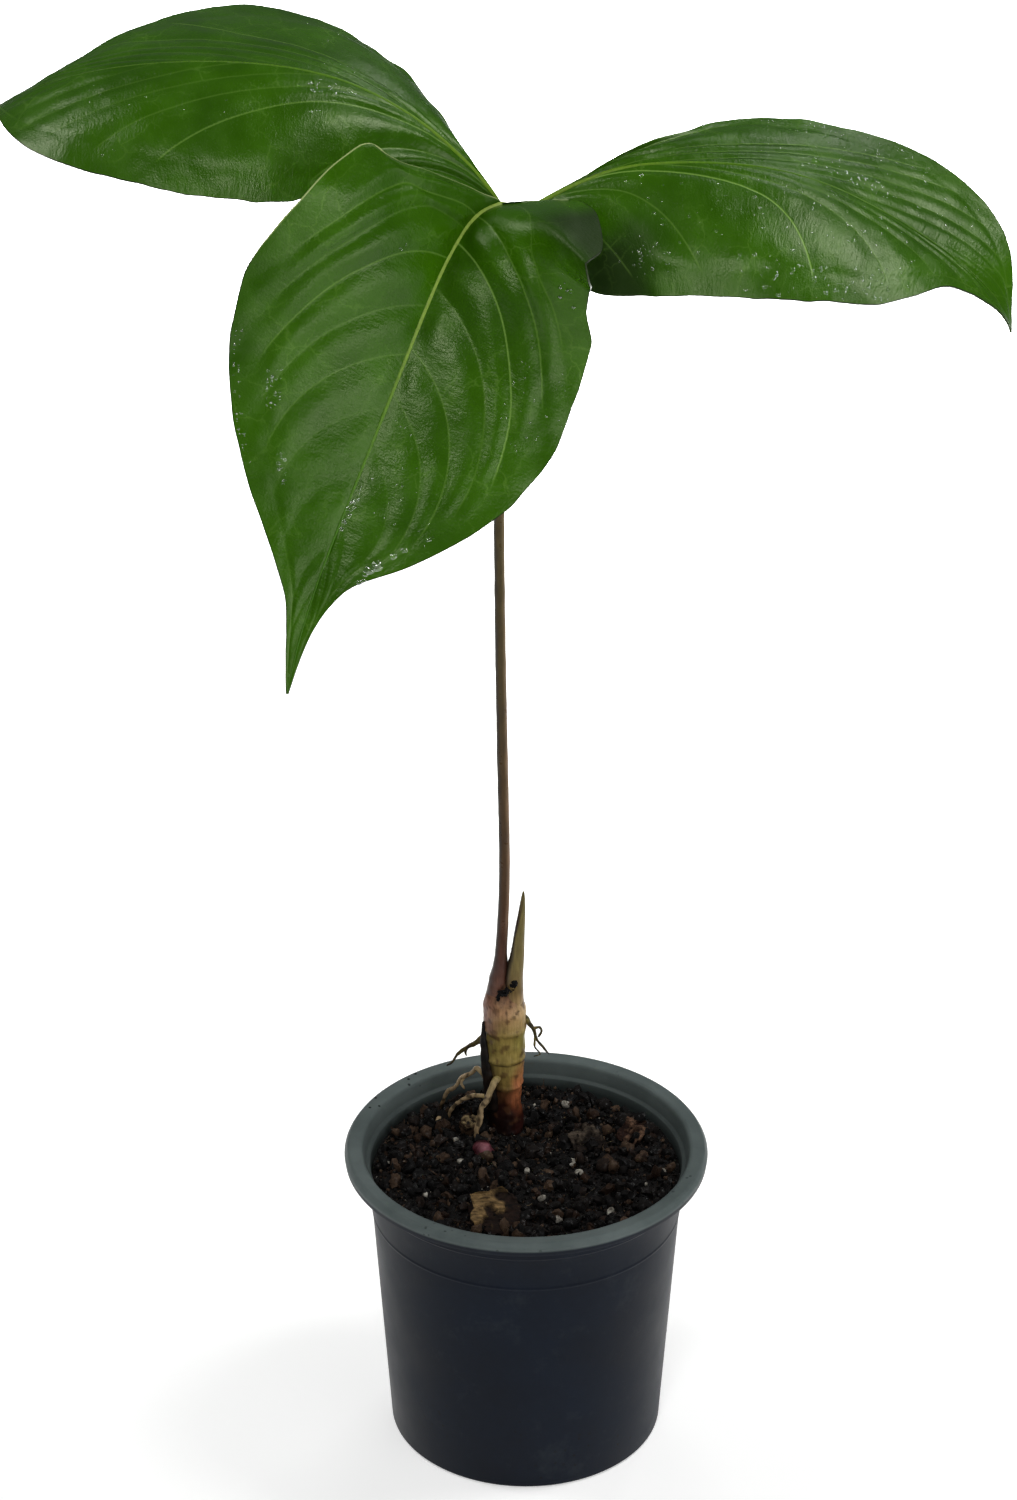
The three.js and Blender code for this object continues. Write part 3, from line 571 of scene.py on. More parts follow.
def make_pot():
    """The section is drawn by extruding one vertex, its corners are eased, and it is spun round"""
    pot = add(bpy.ops.mesh.primitive_plane_add, "pot_shell", size=MM)
    profile = pot_profile()
    bpy.ops.object.mode_set(mode="EDIT")
    bpy.ops.mesh.select_all(action="SELECT")
    bpy.ops.mesh.merge(type="CENTER")
    for (r0, z0), (r1, z1) in zip(profile, profile[1:]):
        step = ((r1 - r0) * MM, 0, (z1 - z0) * MM)
        bpy.ops.mesh.extrude_vertices_move(TRANSFORM_OT_translate={"value": step})
    bpy.ops.mesh.select_all(action="DESELECT")
    bpy.ops.object.mode_set(mode="OBJECT")
    ease_corners(pot, POT_HEIGHT - 2, POT_HEIGHT + 1, 0.6, 4)
    ease_corners(pot, -1, POT_HEIGHT - 2, 0.25, 2)
    edit(pot, lambda: bpy.ops.mesh.spin(steps=168, angle=TURN, center=(0, 0, 0), axis=(0, 0, 1)))
    edit(pot, weld, face_outwards)
    drill = drain_drill()
    apply_modifier(pot, "BOOLEAN", operation="DIFFERENCE", solver="EXACT", object=drill)
    bpy.data.objects.remove(drill)
    smooth(pot, 38)
    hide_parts("pot")
    dress(pot, "pot_plastic", moulded_polypropylene())


def drain_drill():
    """A ring of short rods, for the drain holes to be cut by"""
    rods = []
    for i in range(DRAIN_HOLES):
        angle = (i + 0.5) / DRAIN_HOLES * TURN
        spot = (DRAIN_CIRCLE * MM * math.cos(angle), DRAIN_CIRCLE * MM * math.sin(angle), 3 * MM)
        rods.append(add(bpy.ops.mesh.primitive_cylinder_add, "rod", vertices=24,
                        radius=DRAIN_RADIUS * MM, depth=10 * MM, location=spot))
    drill = joined("drain_drill", rods)
    choose(drill)
    bpy.ops.object.transform_apply(location=True, rotation=True, scale=True)
    return drill


# Potting mix

def lattice(x, y, size, seed):
    """The part's own bumps of the mix, from -1 to 1"""
    def value(i, j):
        h = np.sin(i * 127.1 + j * 311.7 + seed * 74.7) * 43758.5453
        return (h - np.floor(h)) * 2 - 1

    u, v = x / size, y / size
    i, j = np.floor(u), np.floor(v)
    s, t = ease(0, 1, u - i), ease(0, 1, v - j)
    low = value(i, j) * (1 - s) + value(i + 1, j) * s
    high = value(i, j + 1) * (1 - s) + value(i + 1, j + 1) * s
    return low * (1 - t) + high * t


def soil_height(x, y):
    """Height of the mix in the part: crumbs of two sizes, and a dip beside the stem"""
    dip = 2.2 * np.exp(-(((x - 6) / 11) ** 2) - ((y - 20) / 10) ** 2)
    return SOIL_LEVEL - dip + 1.1 * lattice(x, y, 10, 3) + 0.8 * lattice(x, y, 5.5, 8)


def make_soil(peat):
    """A square grid drawn out to a disc of fine crumbs, then pulled down into a plug in the pot"""
    reach = INNER_RADIUS - 0.1
    line = np.linspace(-1, 1, 171)
    a, b = np.meshgrid(line, line)
    x = a * np.sqrt(1 - b * b / 2) * reach
    y = b * np.sqrt(1 - a * a / 2) * reach
    flat = np.stack([x, y, np.zeros_like(x)], axis=-1)
    rough = 0.55 * noise_at(flat, 2.6, 1) + 0.4 * noise_at(flat, 1.3, 2)
    near_wall = ease(reach - 4, reach, np.hypot(x, y))
    z = soil_height(x, y) + rough - 0.8 - 0.6 * near_wall
    tone = 0.2 + 0.15 * noise_at(flat, 4, 5)
    soil = grid_piece("soil_mix", np.stack([x, y, z], axis=-1), tone=tone)
    choose(soil)
    bpy.ops.object.mode_set(mode="EDIT")
    bpy.ops.mesh.select_mode(type="EDGE")
    bpy.ops.mesh.select_all(action="DESELECT")
    bpy.ops.mesh.select_non_manifold()
    plug = ((85, INNER_RADIUS - 0.9), (FLOOR_LEVEL + 0.3, BASE_RADIUS - POT_WALL - 1.3))
    for level, radius in plug:
        bpy.ops.mesh.extrude_region_move(TRANSFORM_OT_translate={"value": (0, 0, -MM)})
        share = radius / reach
        bpy.ops.transform.resize(value=(share, share, 0), center_override=(0, 0, level * MM))
        reach = radius
    bpy.ops.mesh.edge_face_add()
    bpy.ops.mesh.select_mode(type="VERT")
    bpy.ops.mesh.select_all(action="SELECT")
    face_outwards()
    bpy.ops.object.mode_set(mode="OBJECT")
    smooth(soil, 60)
    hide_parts("soil")
    dress(soil, "potting_mix", peat)


def lump(seed, roughness, stretch=(1, 1, 1), fineness=2):
    """A crumb one millimetre in radius, knocked out of round"""
    piece = add(bpy.ops.mesh.primitive_ico_sphere_add, "lump", subdivisions=fineness, radius=MM)
    places = points_of(piece)
    push = 1 + roughness * noise_at(places, 0.9, seed) + roughness * 0.5 * noise_at(places, 0.4, seed)
    move_points(piece, places * push[:, None] * np.array(stretch))
    return piece


def random_turn(source):
    return Euler([source.uniform(0, TURN) for axis in range(3)]).to_quaternion()


def crumb_settings(source, count, smallest, largest, tones):
    """Places, turns, sizes and tones of crumbs that lie on the mix, small ones the most common"""
    reach = INNER_RADIUS - 1
    settings = []
    for i in range(count):
        distance = reach * math.sqrt(source.random())
        angle = source.uniform(0, TURN)
        size = smallest + (largest - smallest) * source.random() ** 2.6
        distance = min(distance, reach - size)
        x, y = distance * math.cos(angle), distance * math.sin(angle)
        z = float(soil_height(np.array(x), np.array(y))) - 0.5 + size * source.uniform(0, 0.7)
        squash = (size, size * source.uniform(0.6, 1), size * source.uniform(0.55, 0.9))
        tone = tones[int(source.random() ** 1.6 * len(tones))] + source.uniform(-0.05, 0.05)
        settings.append(((x, y, z), random_turn(source), squash, tone))
    return settings


# Name, seeds of the shapes, their roughness, stretch and fineness, and the copies' number, smallest
# and largest radius and tones

CRUMBS = [
    ("soil_crumbs", range(8), 0.7, (1, 1, 1), 2, 1500, 0.6, 2.9,
     (0.1, 0.16, 0.24, 0.3, 0.4, 0.52, 0.66)),
    ("soil_grit", range(8, 14), 0.5, (1, 1, 1), 1, 4200, 0.25, 0.75, (0.1, 0.18, 0.28, 0.4, 0.52, 0.7)),
    ("bark_slivers", range(20, 24), 0.35, (2.6, 0.7, 0.35), 2, 190, 0.5, 1.5,
     (0.3, 0.4, 0.5, 0.6, 0.72)),
]


def make_crumbs(peat):
    """Crumbs of a few millimetres, thousands of fine ones, flat slivers of bark and curled fibres"""
    source = random.Random(11)
    for name, seeds, roughness, stretch, fineness, *spread in CRUMBS:
        lumps = [lump(seed, roughness, stretch, fineness) for seed in seeds]
        dress(scatter(name, lumps, crumb_settings(source, *spread)), "potting_mix", peat)
    curls = [fibre_curl(seed) for seed in range(5)]
    settings = crumb_settings(source, 150, 0.6, 1.5, (0.5, 0.7, 0.85))
    dress(scatter("soil_fibres", curls, settings), "potting_mix", peat)


def fibre_curl(seed):
    """A thin curled fibre about five millimetres long"""
    source = random.Random(seed)
    place, turn = Vector((-2.5, 0, 0)), Vector((1, 0, 0))
    stations = []
    for i in range(7):
        stations.append([*place, 0.09])
        turn = (turn + Vector([source.uniform(-0.6, 0.6) for axis in range(3)])).normalized()
        place = place + turn * 0.85
    return limb("fibre_curl", stations, 5, 22)


# Place across the mix and radius of each of the part's perlite grains

GRAINS = [
    (13.7, 37.4, 1.3), (-23.4, 15.9, 1.1), (27.5, -26.4, 1.6), (10.2, -31.1, 1.4), (0.3, -3.2, 1.3),
    (15.2, 2.3, 1.4), (17.5, -4.4, 1.3), (45.2, -3.8, 1.2), (-21.5, 1.1, 1.3), (-46.2, 1.1, 1.1),
    (5, -20, 1.3), (-33, -18, 1.2),
]


def make_perlite():
    """The larger grains stand for the part's own, and small bits lie between the crumbs"""
    mineral = expanded_perlite()
    source = random.Random(5)
    settings = []
    for x, y, radius in GRAINS:
        z = float(soil_height(np.array(x), np.array(y))) + radius * 0.25
        size = [radius * source.uniform(0.8, 1.15) for axis in range(3)]
        settings.append(((x, y, z), random_turn(source), size, 0.5))
    grains = scatter("perlite_grains", [lump(seed, 0.35) for seed in range(30, 34)], settings)
    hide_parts(*[f"perlite_{i + 1:02d}" for i in range(len(GRAINS))])
    dress(grains, "perlite", mineral)
    bits = scatter("perlite_bits", [lump(seed, 0.35) for seed in range(34, 37)],
                   crumb_settings(source, 80, 0.2, 0.8, (0.5,)))
    dress(bits, "perlite", mineral)


# Limbs: stem, roots, petiole, new leaf, bud and fibres

def limb(name, stations, around, along, swell=None, colour=None):
    """A round limb along stations of x, y, z, radius and depth ratio, closed by a round cap at each
    end. swell gives a radius change and colour gives triples, from the angle, place and travel."""
    table = np.array([list(row) + [1] * (5 - len(row)) for row in stations], float)
    steps = np.linalg.norm(np.diff(table[:, :3], axis=0), axis=1)
    travelled = np.concatenate([[0], np.cumsum(steps)])
    keyed = np.column_stack([travelled, table])
    length = travelled[-1]
    bend = np.linspace(0, math.pi / 2, 5)
    start, end = min(table[0, 3], length / 4), min(table[-1, 3], length / 4)
    middle = np.linspace(start, length - end, along - 7)[1:-1]
    line = np.concatenate([start * (1 - np.cos(bend)), middle, length - end * (1 - np.cos(bend))[::-1]])
    cap = np.concatenate([np.sin(bend), np.ones(len(middle)), np.sin(bend)[::-1]])
    centre = np.stack([through(keyed, column, line) for column in (1, 2, 3)], axis=-1)
    radius = through(keyed, 4, line) * cap
    ratio = through(keyed, 5, line)
    ahead = np.gradient(centre, line, axis=0)
    ahead /= np.linalg.norm(ahead, axis=1)[:, None]
    side = np.array([0.0, 1, 0]) if abs(ahead[0, 0]) > 0.9 else np.array([1.0, 0, 0])
    sides = []
    for direction in ahead:
        side = side - direction * side.dot(direction)
        side = side / np.linalg.norm(side)
        sides.append(side)
    sides = np.array(sides)[:, None]
    fronts = np.cross(sides[:, 0], ahead)[:, None]
    angle = np.broadcast_to(np.linspace(0, TURN, around + 1), (len(line), around + 1))
    travel = np.broadcast_to(line[:, None], angle.shape)
    wide = np.broadcast_to(radius[:, None], angle.shape)
    outward = sides * np.cos(angle)[..., None] + fronts * (np.sin(angle) * ratio[:, None])[..., None]
    if swell:
        places = centre[:, None] + outward * wide[..., None]
        wide = wide + swell(angle, places, travel) * cap[:, None]
    places = centre[:, None] + outward * wide[..., None]
    fields = {"skin": colour(angle, places, travel)} if colour else {}
    piece = grid_piece(name, places, **fields)
    edit(piece, weld, face_outwards)
    smooth(piece, 60)
    return piece


# Height and radius of the upright stem, which swells at each ring scar, then its top
UPRIGHT_STEM = [
    (74, 3.2), (82, 5.6), (94, 6.4), (99, 6.2), (106, 5.5), (111.4, 5.8), (112.4, 6.3), (113.6, 5.9),
    (118, 6.3), (121.8, 6.5), (122.8, 7), (124, 6.6), (128, 6.7), (132.8, 6.9), (133.8, 7.3), (135, 7),
    (139.4, 7.1),
]
STEM_TOP = [
    [-7.2, 29, 142, 6.9], [-7.1, 29, 145, 6.5, 0.85], [-6.9, 28.8, 148, 6, 0.6],
    [-6.7, 28.5, 152, 5.2, 0.4], [-6.4, 28.2, 157, 3.5, 0.3],
]
STEM_STATIONS = [[STEM_X, STEM_Y, height, radius] for height, radius in UPRIGHT_STEM] + STEM_TOP
RINGS = (112.4, 122.8, 133.8)


def stem_swell(angle, places, travel):
    return 0.38 * noise_at(places, 4, 3) + 0.2 * noise_at(places, 1.4, 4)


def stem_colour(angle, places, travel):
    """Mauve and cream at the top, yellow-olive below, orange to the right, black-red at the foot. The
    cream to the right is partly a painted highlight, and the near-black to the left partly painted
    shade.
    """
    z = places[..., 2]
    left = along_colours([(100, "#0c0605"), (112, "#150d09"), (114, "#2a2012"), (121, "#4a4020"),
                          (124, "#6d5f2f"), (132, "#7a6936"), (135, "#7d5a48"), (140, "#8a6354"),
                          (147, "#74503f"), (157, "#4d2f26")], z)
    middle = along_colours([(100, "#160806"), (106, "#2a110c"), (111, "#5a3a22"), (114, "#8b743e"),
                            (121, "#937f44"), (128, "#9c8848"), (133, "#8d793f"), (137, "#9a7f4e"),
                            (142, "#a37c58"), (147, "#6f4f38"), (157, "#33221a")], z)
    right = along_colours([(100, "#2a0f0b"), (104, "#6a3822"), (110, "#a8653f"), (114, "#b8744a"),
                           (120, "#a57a48"), (124, "#8a7a3c"), (132, "#8f8440"), (136, "#a88c58"),
                           (142, "#c0a070"), (147, "#7d6a40"), (157, "#5f5530")], z)
    # Painted light: the left side is blended towards its dark colours as shade, the right towards its
    # light ones as a highlight
    shift = np.cos(angle) + 0.35 * noise_at(places, 5, 6)
    body = blend(blend(middle, left, ease(0.1, 0.9, -shift)), right, ease(0.1, 0.9, shift))
    # The ring scars are broken lines that rise and fall a little
    wander = 0.5 * noise_at(places, 6, 14)
    scar = sum(np.exp(-(((z + wander - ring + 0.9) / 0.4) ** 2)) for ring in RINGS)
    broken = ease(-0.35, 0.1, noise_at(places, 4.5, 21))
    body = blend(body, "#1d120a", np.clip(scar, 0, 1) * 0.85 * broken)
    crack = ease(0.5, 0.15, np.abs(noise_at(places * np.array([1, 1, 0.3]), 2.6, 17)) * 6)
    body = blend(body, "#1d120a", crack * ease(138, 141, z) * ease(149, 145, z) * 0.7)
    blotch = ease(0.22, 0.42, noise_at(places, 2.6, 9))
    return blend(body, "#4a2f1c", blotch * 0.65)


def root_colour(middle, tip):
    """A root's colours: the stem's olive where it leaves the stem, then the middle and the tip"""
    def colour(angle, places, travel):
        share = travel / travel.max() + 0.12 * noise_at(places, 3, 2)
        skin = along_colours([(0, "#9a8a4c"), (0.3, middle), (0.75, middle), (1, tip)], share)
        dirt = ease(0.12, 0.4, noise_at(places, 1.9, 13))
        return blend(skin, "#1a120c", dirt * 0.8)

    return colour


def root_swell(angle, places, travel):
    return 0.24 * noise_at(places, 1.7, 7)


def sheath_colour(angle, places, travel):
    return along_colours([(0, "#070504"), (1, "#1d120b")], 0.5 + noise_at(places, 2, 5))


# A dead strip of sheath that clings to the stem's left side
SHEATH_STRIP = [
    [-14, 26.6, 137, 0.5, 0.6], [-14.2, 25.8, 131, 1, 0.6], [-13.6, 25.2, 124, 1.5, 0.6],
    [-12.6, 24.6, 116, 1.9, 0.6], [-11.6, 24.2, 109, 2.1, 0.6], [-10.6, 24, 103, 1.4, 0.6],
]


# Roots that end in the air on both sides of the stem, and thicker ones that go down into the mix,
# each with its forks as limbs of their own

AIR_ROOTS = [
    [[-10, 29, 129.5, 1.7], [-14, 29, 128.9, 1.5], [-16.6, 29, 127.2, 0.9], [-20, 29.3, 125, 0.7],
     [-22.8, 29.6, 122.4, 0.6], [-24.5, 30, 119.4, 0.45], [-26.6, 30, 117.7, 0.25]],
    [[-19.4, 29.3, 125.2, 0.5], [-20.2, 29.3, 123.4, 0.4], [-19.9, 29.3, 121.9, 0.25]],
    [[-3, 29, 137.6, 1.5], [-0.3, 29, 136.8, 1.2], [1.3, 29, 134.4, 0.8], [2.5, 29, 132.4, 0.65],
     [3.5, 29, 128.8, 0.5], [5.5, 29, 125.9, 0.45], [7.9, 29, 122.7, 0.25]],
    [[2.1, 29, 132.8, 0.5], [4.4, 28.8, 133.4, 0.5], [5.2, 28.6, 132, 0.4], [4.1, 28.6, 129.6, 0.25]],
    [[3.1, 29, 129.6, 0.45], [2.9, 28.6, 126.4, 0.35], [4.8, 28.4, 123.2, 0.25],
     [2.6, 28.2, 122.4, 0.15]],
]
SOIL_ROOTS = [
    [[-9, 28, 111, 1.1], [-13, 26, 113.5, 1], [-14.6, 27, 116.4, 0.8], [-16.2, 28, 117.8, 0.9],
     [-18.4, 30, 114.6, 0.7], [-21.4, 31, 112.4, 0.85], [-23.6, 32, 108.4, 0.7],
     [-26.4, 35, 104.4, 0.75], [-28.2, 37.5, 98.6, 0.6], [-29.4, 38.6, 95, 0.6]],
    [[-9, 27, 108, 1], [-12.5, 24.6, 108.9, 0.85], [-15.8, 26, 108.4, 0.7], [-18.8, 28, 106.8, 0.75],
     [-22.5, 30, 103.4, 0.6], [-25, 31.5, 99.6, 0.65], [-26.4, 32.5, 95.4, 0.6]],
    [[-8.5, 26, 117.6, 1.2], [-10.4, 22, 116, 1.2], [-12, 20.6, 113, 1], [-13, 20, 110.2, 1.1],
     [-14.9, 19.6, 107.4, 0.9], [-15.3, 19.4, 103.2, 1], [-16.6, 19, 98.6, 0.8], [-16.4, 18.6, 94, 0.8]],
    [[-20.6, 31, 112.6, 0.55], [-21.6, 30, 110.8, 0.45], [-20.6, 29.4, 108.8, 0.3]],
    [[-28.9, 28.8, 97, 0.9], [-29.2, 26.6, 98.9, 0.9], [-29.9, 23.8, 96.8, 0.8]],
]


def make_stem():
    skin = living_skin("stem_epidermis", 0.42, 0.22)
    parts = [limb("stem_core", STEM_STATIONS, 64, 150, stem_swell, stem_colour)]
    for root in AIR_ROOTS:
        parts.append(limb("air_root", root, 14, 60, root_swell, root_colour("#4a4020", "#15100a")))
    for root in SOIL_ROOTS:
        parts.append(limb("soil_root", root, 16, 70, root_swell, root_colour("#ab9370", "#6d563a")))
    parts.append(limb("dead_sheath", SHEATH_STRIP, 20, 60, root_swell, sheath_colour))
    stem = joined("stem_and_roots", parts)
    smooth(stem, 60)
    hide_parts("stem")
    dress(stem, "stem_bark", skin)


PETIOLE_STATIONS = [
    [-9.8, 29.2, 137.6, 2.6, 1.2], [-9.8, 29.3, 141.3, 3.4, 1.2], [-9.7, 29.3, 145, 3.5, 1.2],
    [-9.2, 29, 151, 3.3, 1.1], [-8.4, 28.4, 157, 2.65, 1], [-8.2, 27.8, 163, 2.05, 1],
    [-7.6, 26.6, 175, 1.85, 1],
    [-7.1, 25, 196, 1.8, 1], [-7.6, 21.6, 230, 1.8, 1], [-8.1, 18, 262, 1.75, 1],
    [-8.5, 13.4, 296, 1.7, 1], [-8.7, 9, 328, 1.7, 1], [-8.4, 5.6, 360, 1.7, 1],
    [-6.9, 3.4, 392, 1.7, 1], [-4.8, 2.3, 414, 1.8, 1], [*JUNCTION, 2.2, 1],
]


def petiole_swell(angle, places, travel):
    foot = ease(24, 8, travel)
    return 0.1 * noise_at(places, 6, 8) + foot * 0.45 * noise_at(places, 2.4, 12)


def petiole_colour(angle, places, travel):
    """Reddish brown below, olive brown above, with painted shade to the left and a painted highlight to
    the right
    """
    z = places[..., 2]
    u = np.cos(angle) + 0.2 * noise_at(places, 8, 2)
    shaded = along_colours([(141, "#4a3026"), (157, "#2e1c14"), (170, "#221706"), (424, "#2a220a")], z)
    body = along_colours([(138, "#82604e"), (146, "#74503f"), (158, "#4f3026"), (185, "#452c14"),
                          (260, "#423414"), (380, "#4d4018"), (424, "#5f5a24")], z)
    light = along_colours([(141, "#5a3a2c"), (158, "#3a241a"), (180, "#7d5f46"), (300, "#6f5b38"),
                           (424, "#7a7038")], z)
    # Painted shade on the left side and a painted highlight on the right
    return blend(blend(body, shaded, ease(0.2, 0.95, -u)), light, ease(0.25, 0.95, u))


SPEAR_STATIONS = [
    [-4.1, 28.4, 138, 2.6, 1.1], [-4.1, 28, 141.3, 3.1, 1.1], [-4, 28, 146, 3.2, 1.1],
    [-3.9, 27.6, 153, 3.0, 1.1], [-3.3, 27.3, 159, 2.6, 1], [-3, 27.2, 161, 2.4, 1],
    [-2.4, 27, 169, 1.9, 1], [-1.5, 27, 178, 1.2, 1],
    [-1, 27, 184, 0.6, 1], [-0.9, 27, 186, 0.2, 1],
]


def spiral(angle, travel):
    """How far round from the rolled blade's free edge, in turns"""
    return (angle / TURN + travel / 90 + 0.25) % 1


def spear_swell(angle, places, travel):
    """The edge of the rolled blade stands a little proud, in a slow spiral"""
    return 0.32 * (spiral(angle, travel) - 0.5) * ease(0, 6, travel) * ease(45, 38, travel)


def spear_colour(angle, places, travel):
    z = places[..., 2]
    turn = spiral(angle, travel)
    body = along_colours([(138, "#c0a070"), (144, "#a5875a"), (149, "#6f5a34"), (160, "#746538"),
                          (186, "#665c2c")], z)
    shaded = along_colours([(138, "#7a5a40"), (146, "#3a2218"), (156, "#1d120b"), (186, "#3a2a14")], z)
    edge = ease(0.93, 1.0, turn) + ease(0.08, 0.0, turn)
    shadow = np.clip(ease(0.3, 0.95, -np.cos(angle)) + 0.8 * edge, 0, 1)
    return blend(body, shaded, shadow)


def make_petiole():
    stalk = limb("petiole_stalk", PETIOLE_STATIONS, 28, 260, petiole_swell, petiole_colour)
    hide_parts("petiole")
    dress(stalk, "petiole_skin", living_skin("petiole_epidermis", 0.36, 0.16))


def make_new_leaf():
    spear = limb("rolled_leaf", SPEAR_STATIONS, 40, 90, spear_swell, spear_colour)
    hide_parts("new_leaf")
    dress(spear, "spear_skin", living_skin("cataphyll_skin", 0.4, 0.2))


def make_notch_crumbs(peat):
    """Crumbs of mix that lie in the notch between the petiole and the new leaf"""
    source = random.Random(9)
    settings = []
    for i in range(26):
        share = source.random()
        place = (-9.8 + 6.2 * share, 24.6 + source.uniform(-0.5, 0.3),
                 147.4 + 4.6 * share + source.uniform(-1.4, 1.4))
        size = source.uniform(0.4, 1.05)
        settings.append((place, random_turn(source), (size, size * 0.8, size * 0.7), 0.1))
    crumbs = scatter("notch_crumbs", [lump(seed, 0.6) for seed in range(40, 43)], settings)
    dress(crumbs, "potting_mix", peat)


BUD_STATIONS = [
    [-15.2, 15, 91, 2.6], [-14.8, 11.6, 95.6, 3.4], [-14.3, 8.4, 98, 3.3], [-13.8, 5.6, 99.2, 2.4],
    [-13.4, 3.6, 99.4, 1.1],
]


def bud_colour(angle, places, travel):
    tone = travel / travel.max() + 0.25 * noise_at(places, 2, 4)
    return along_colours([(0, "#120606"), (0.5, "#2a0c10"), (0.72, "#55282f"), (1, "#7d4c54")], tone)


def bud_swell(angle, places, travel):
    return 0.9 * noise_at(places, 3.4, 7) + 0.4 * noise_at(places, 1.3, 8)


def make_bud():
    bud = limb("pink_bud", BUD_STATIONS, 32, 48, bud_swell, bud_colour)
    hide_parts("basal_bud")
    dress(bud, "bud_skin", living_skin("bud_epidermis", 0.4, 0.15))


# Bark chips

# Name, size, middle, turn, colour of the worn top and of the split wood, and where the top has lasted

CHIPS = [
    ("bark_front", (18, 18, 7), (-10.4, -31, 98), (0.3, 0.05, 0.15), "#7a6240", "#1e120c",
     (-0.5, 0.5)),
    ("bark_right_inner", (12, 13, 5.5), (20.4, 14.5, 97.6), (0.1, -0.25, 0.3), "#4c4238", "#1d1510",
     (0, 0.3)),
    ("bark_right_outer", (9.5, 12, 5.5), (35.5, 19, 97.6), (0.25, 0.3, -0.5), "#6d5240", "#2a1812",
     (0.3, 0)),
    ("fibre_shred", (8, 7, 4), (-18.6, 24.4, 97.9), (0.1, 0.1, 0.5), "#94805e", "#3a2a1c", (0, 0.2)),
]


def make_chip(bark, name, size, centre, turn, top, side, lasting):
    """A block split into fine faces, worn round, with layers that end in steps at its sides"""
    chip = add(bpy.ops.mesh.primitive_cube_add, name + "_chip", size=2 * MM)
    edit(chip, lambda: bpy.ops.mesh.subdivide(number_cuts=18))
    unit = points_of(chip)
    seed = len(name)
    radial = np.linalg.norm(unit[:, :2], axis=1) + 0.001
    squared = np.max(np.abs(unit[:, :2]), axis=1)
    worn = 1 - 0.2 * ease(0.6, 1, squared) * ease(1.0, 1.41, radial)
    layer = np.floor((unit[:, 2] + 1) * 2.5 + 0.4 * noise_at(unit, 1.2, seed))
    step = 1 - 0.09 * (layer % 2) - 0.05 * ((layer * 7) % 3)
    shift = 0.24 * noise_at(unit, 0.7, seed + 1) + 0.07 * noise_at(unit, 0.2, seed + 2)
    across = unit[:, :2] * (worn * step + shift)[:, None]
    kept = unit[:, :2] @ np.array(lasting) + noise_at(unit, 0.5, seed + 5) + 0.3 * noise_at(unit, 0.17)
    gone = 0.5 * ease(0.25, -0.15, kept) * ease(0, 1, unit[:, 2])
    split = 0.28 * noise_at(unit * np.array([0.5, 2.6, 1]), 0.3, seed)
    height = unit[:, 2] * (1 - gone + 0.25 * noise_at(unit, 0.7, seed + 3)) + split
    places = np.column_stack([across, height]) * np.array(size) / 2 * 0.93
    turned = places @ np.array(Euler(turn, "XYZ").to_matrix()).T
    move_points(chip, turned + np.array(centre))
    bark_left = ease(0.55, 0.95, unit[:, 2]) * ease(-0.15, 0.3, kept)
    keep(chip, "skin", along_colours([(0, side), (1, top)], bark_left))
    edit(chip, face_outwards)
    smooth(chip, 35)
    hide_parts(name)
    dress(chip, "fibre" if name == "fibre_shred" else "bark", bark)
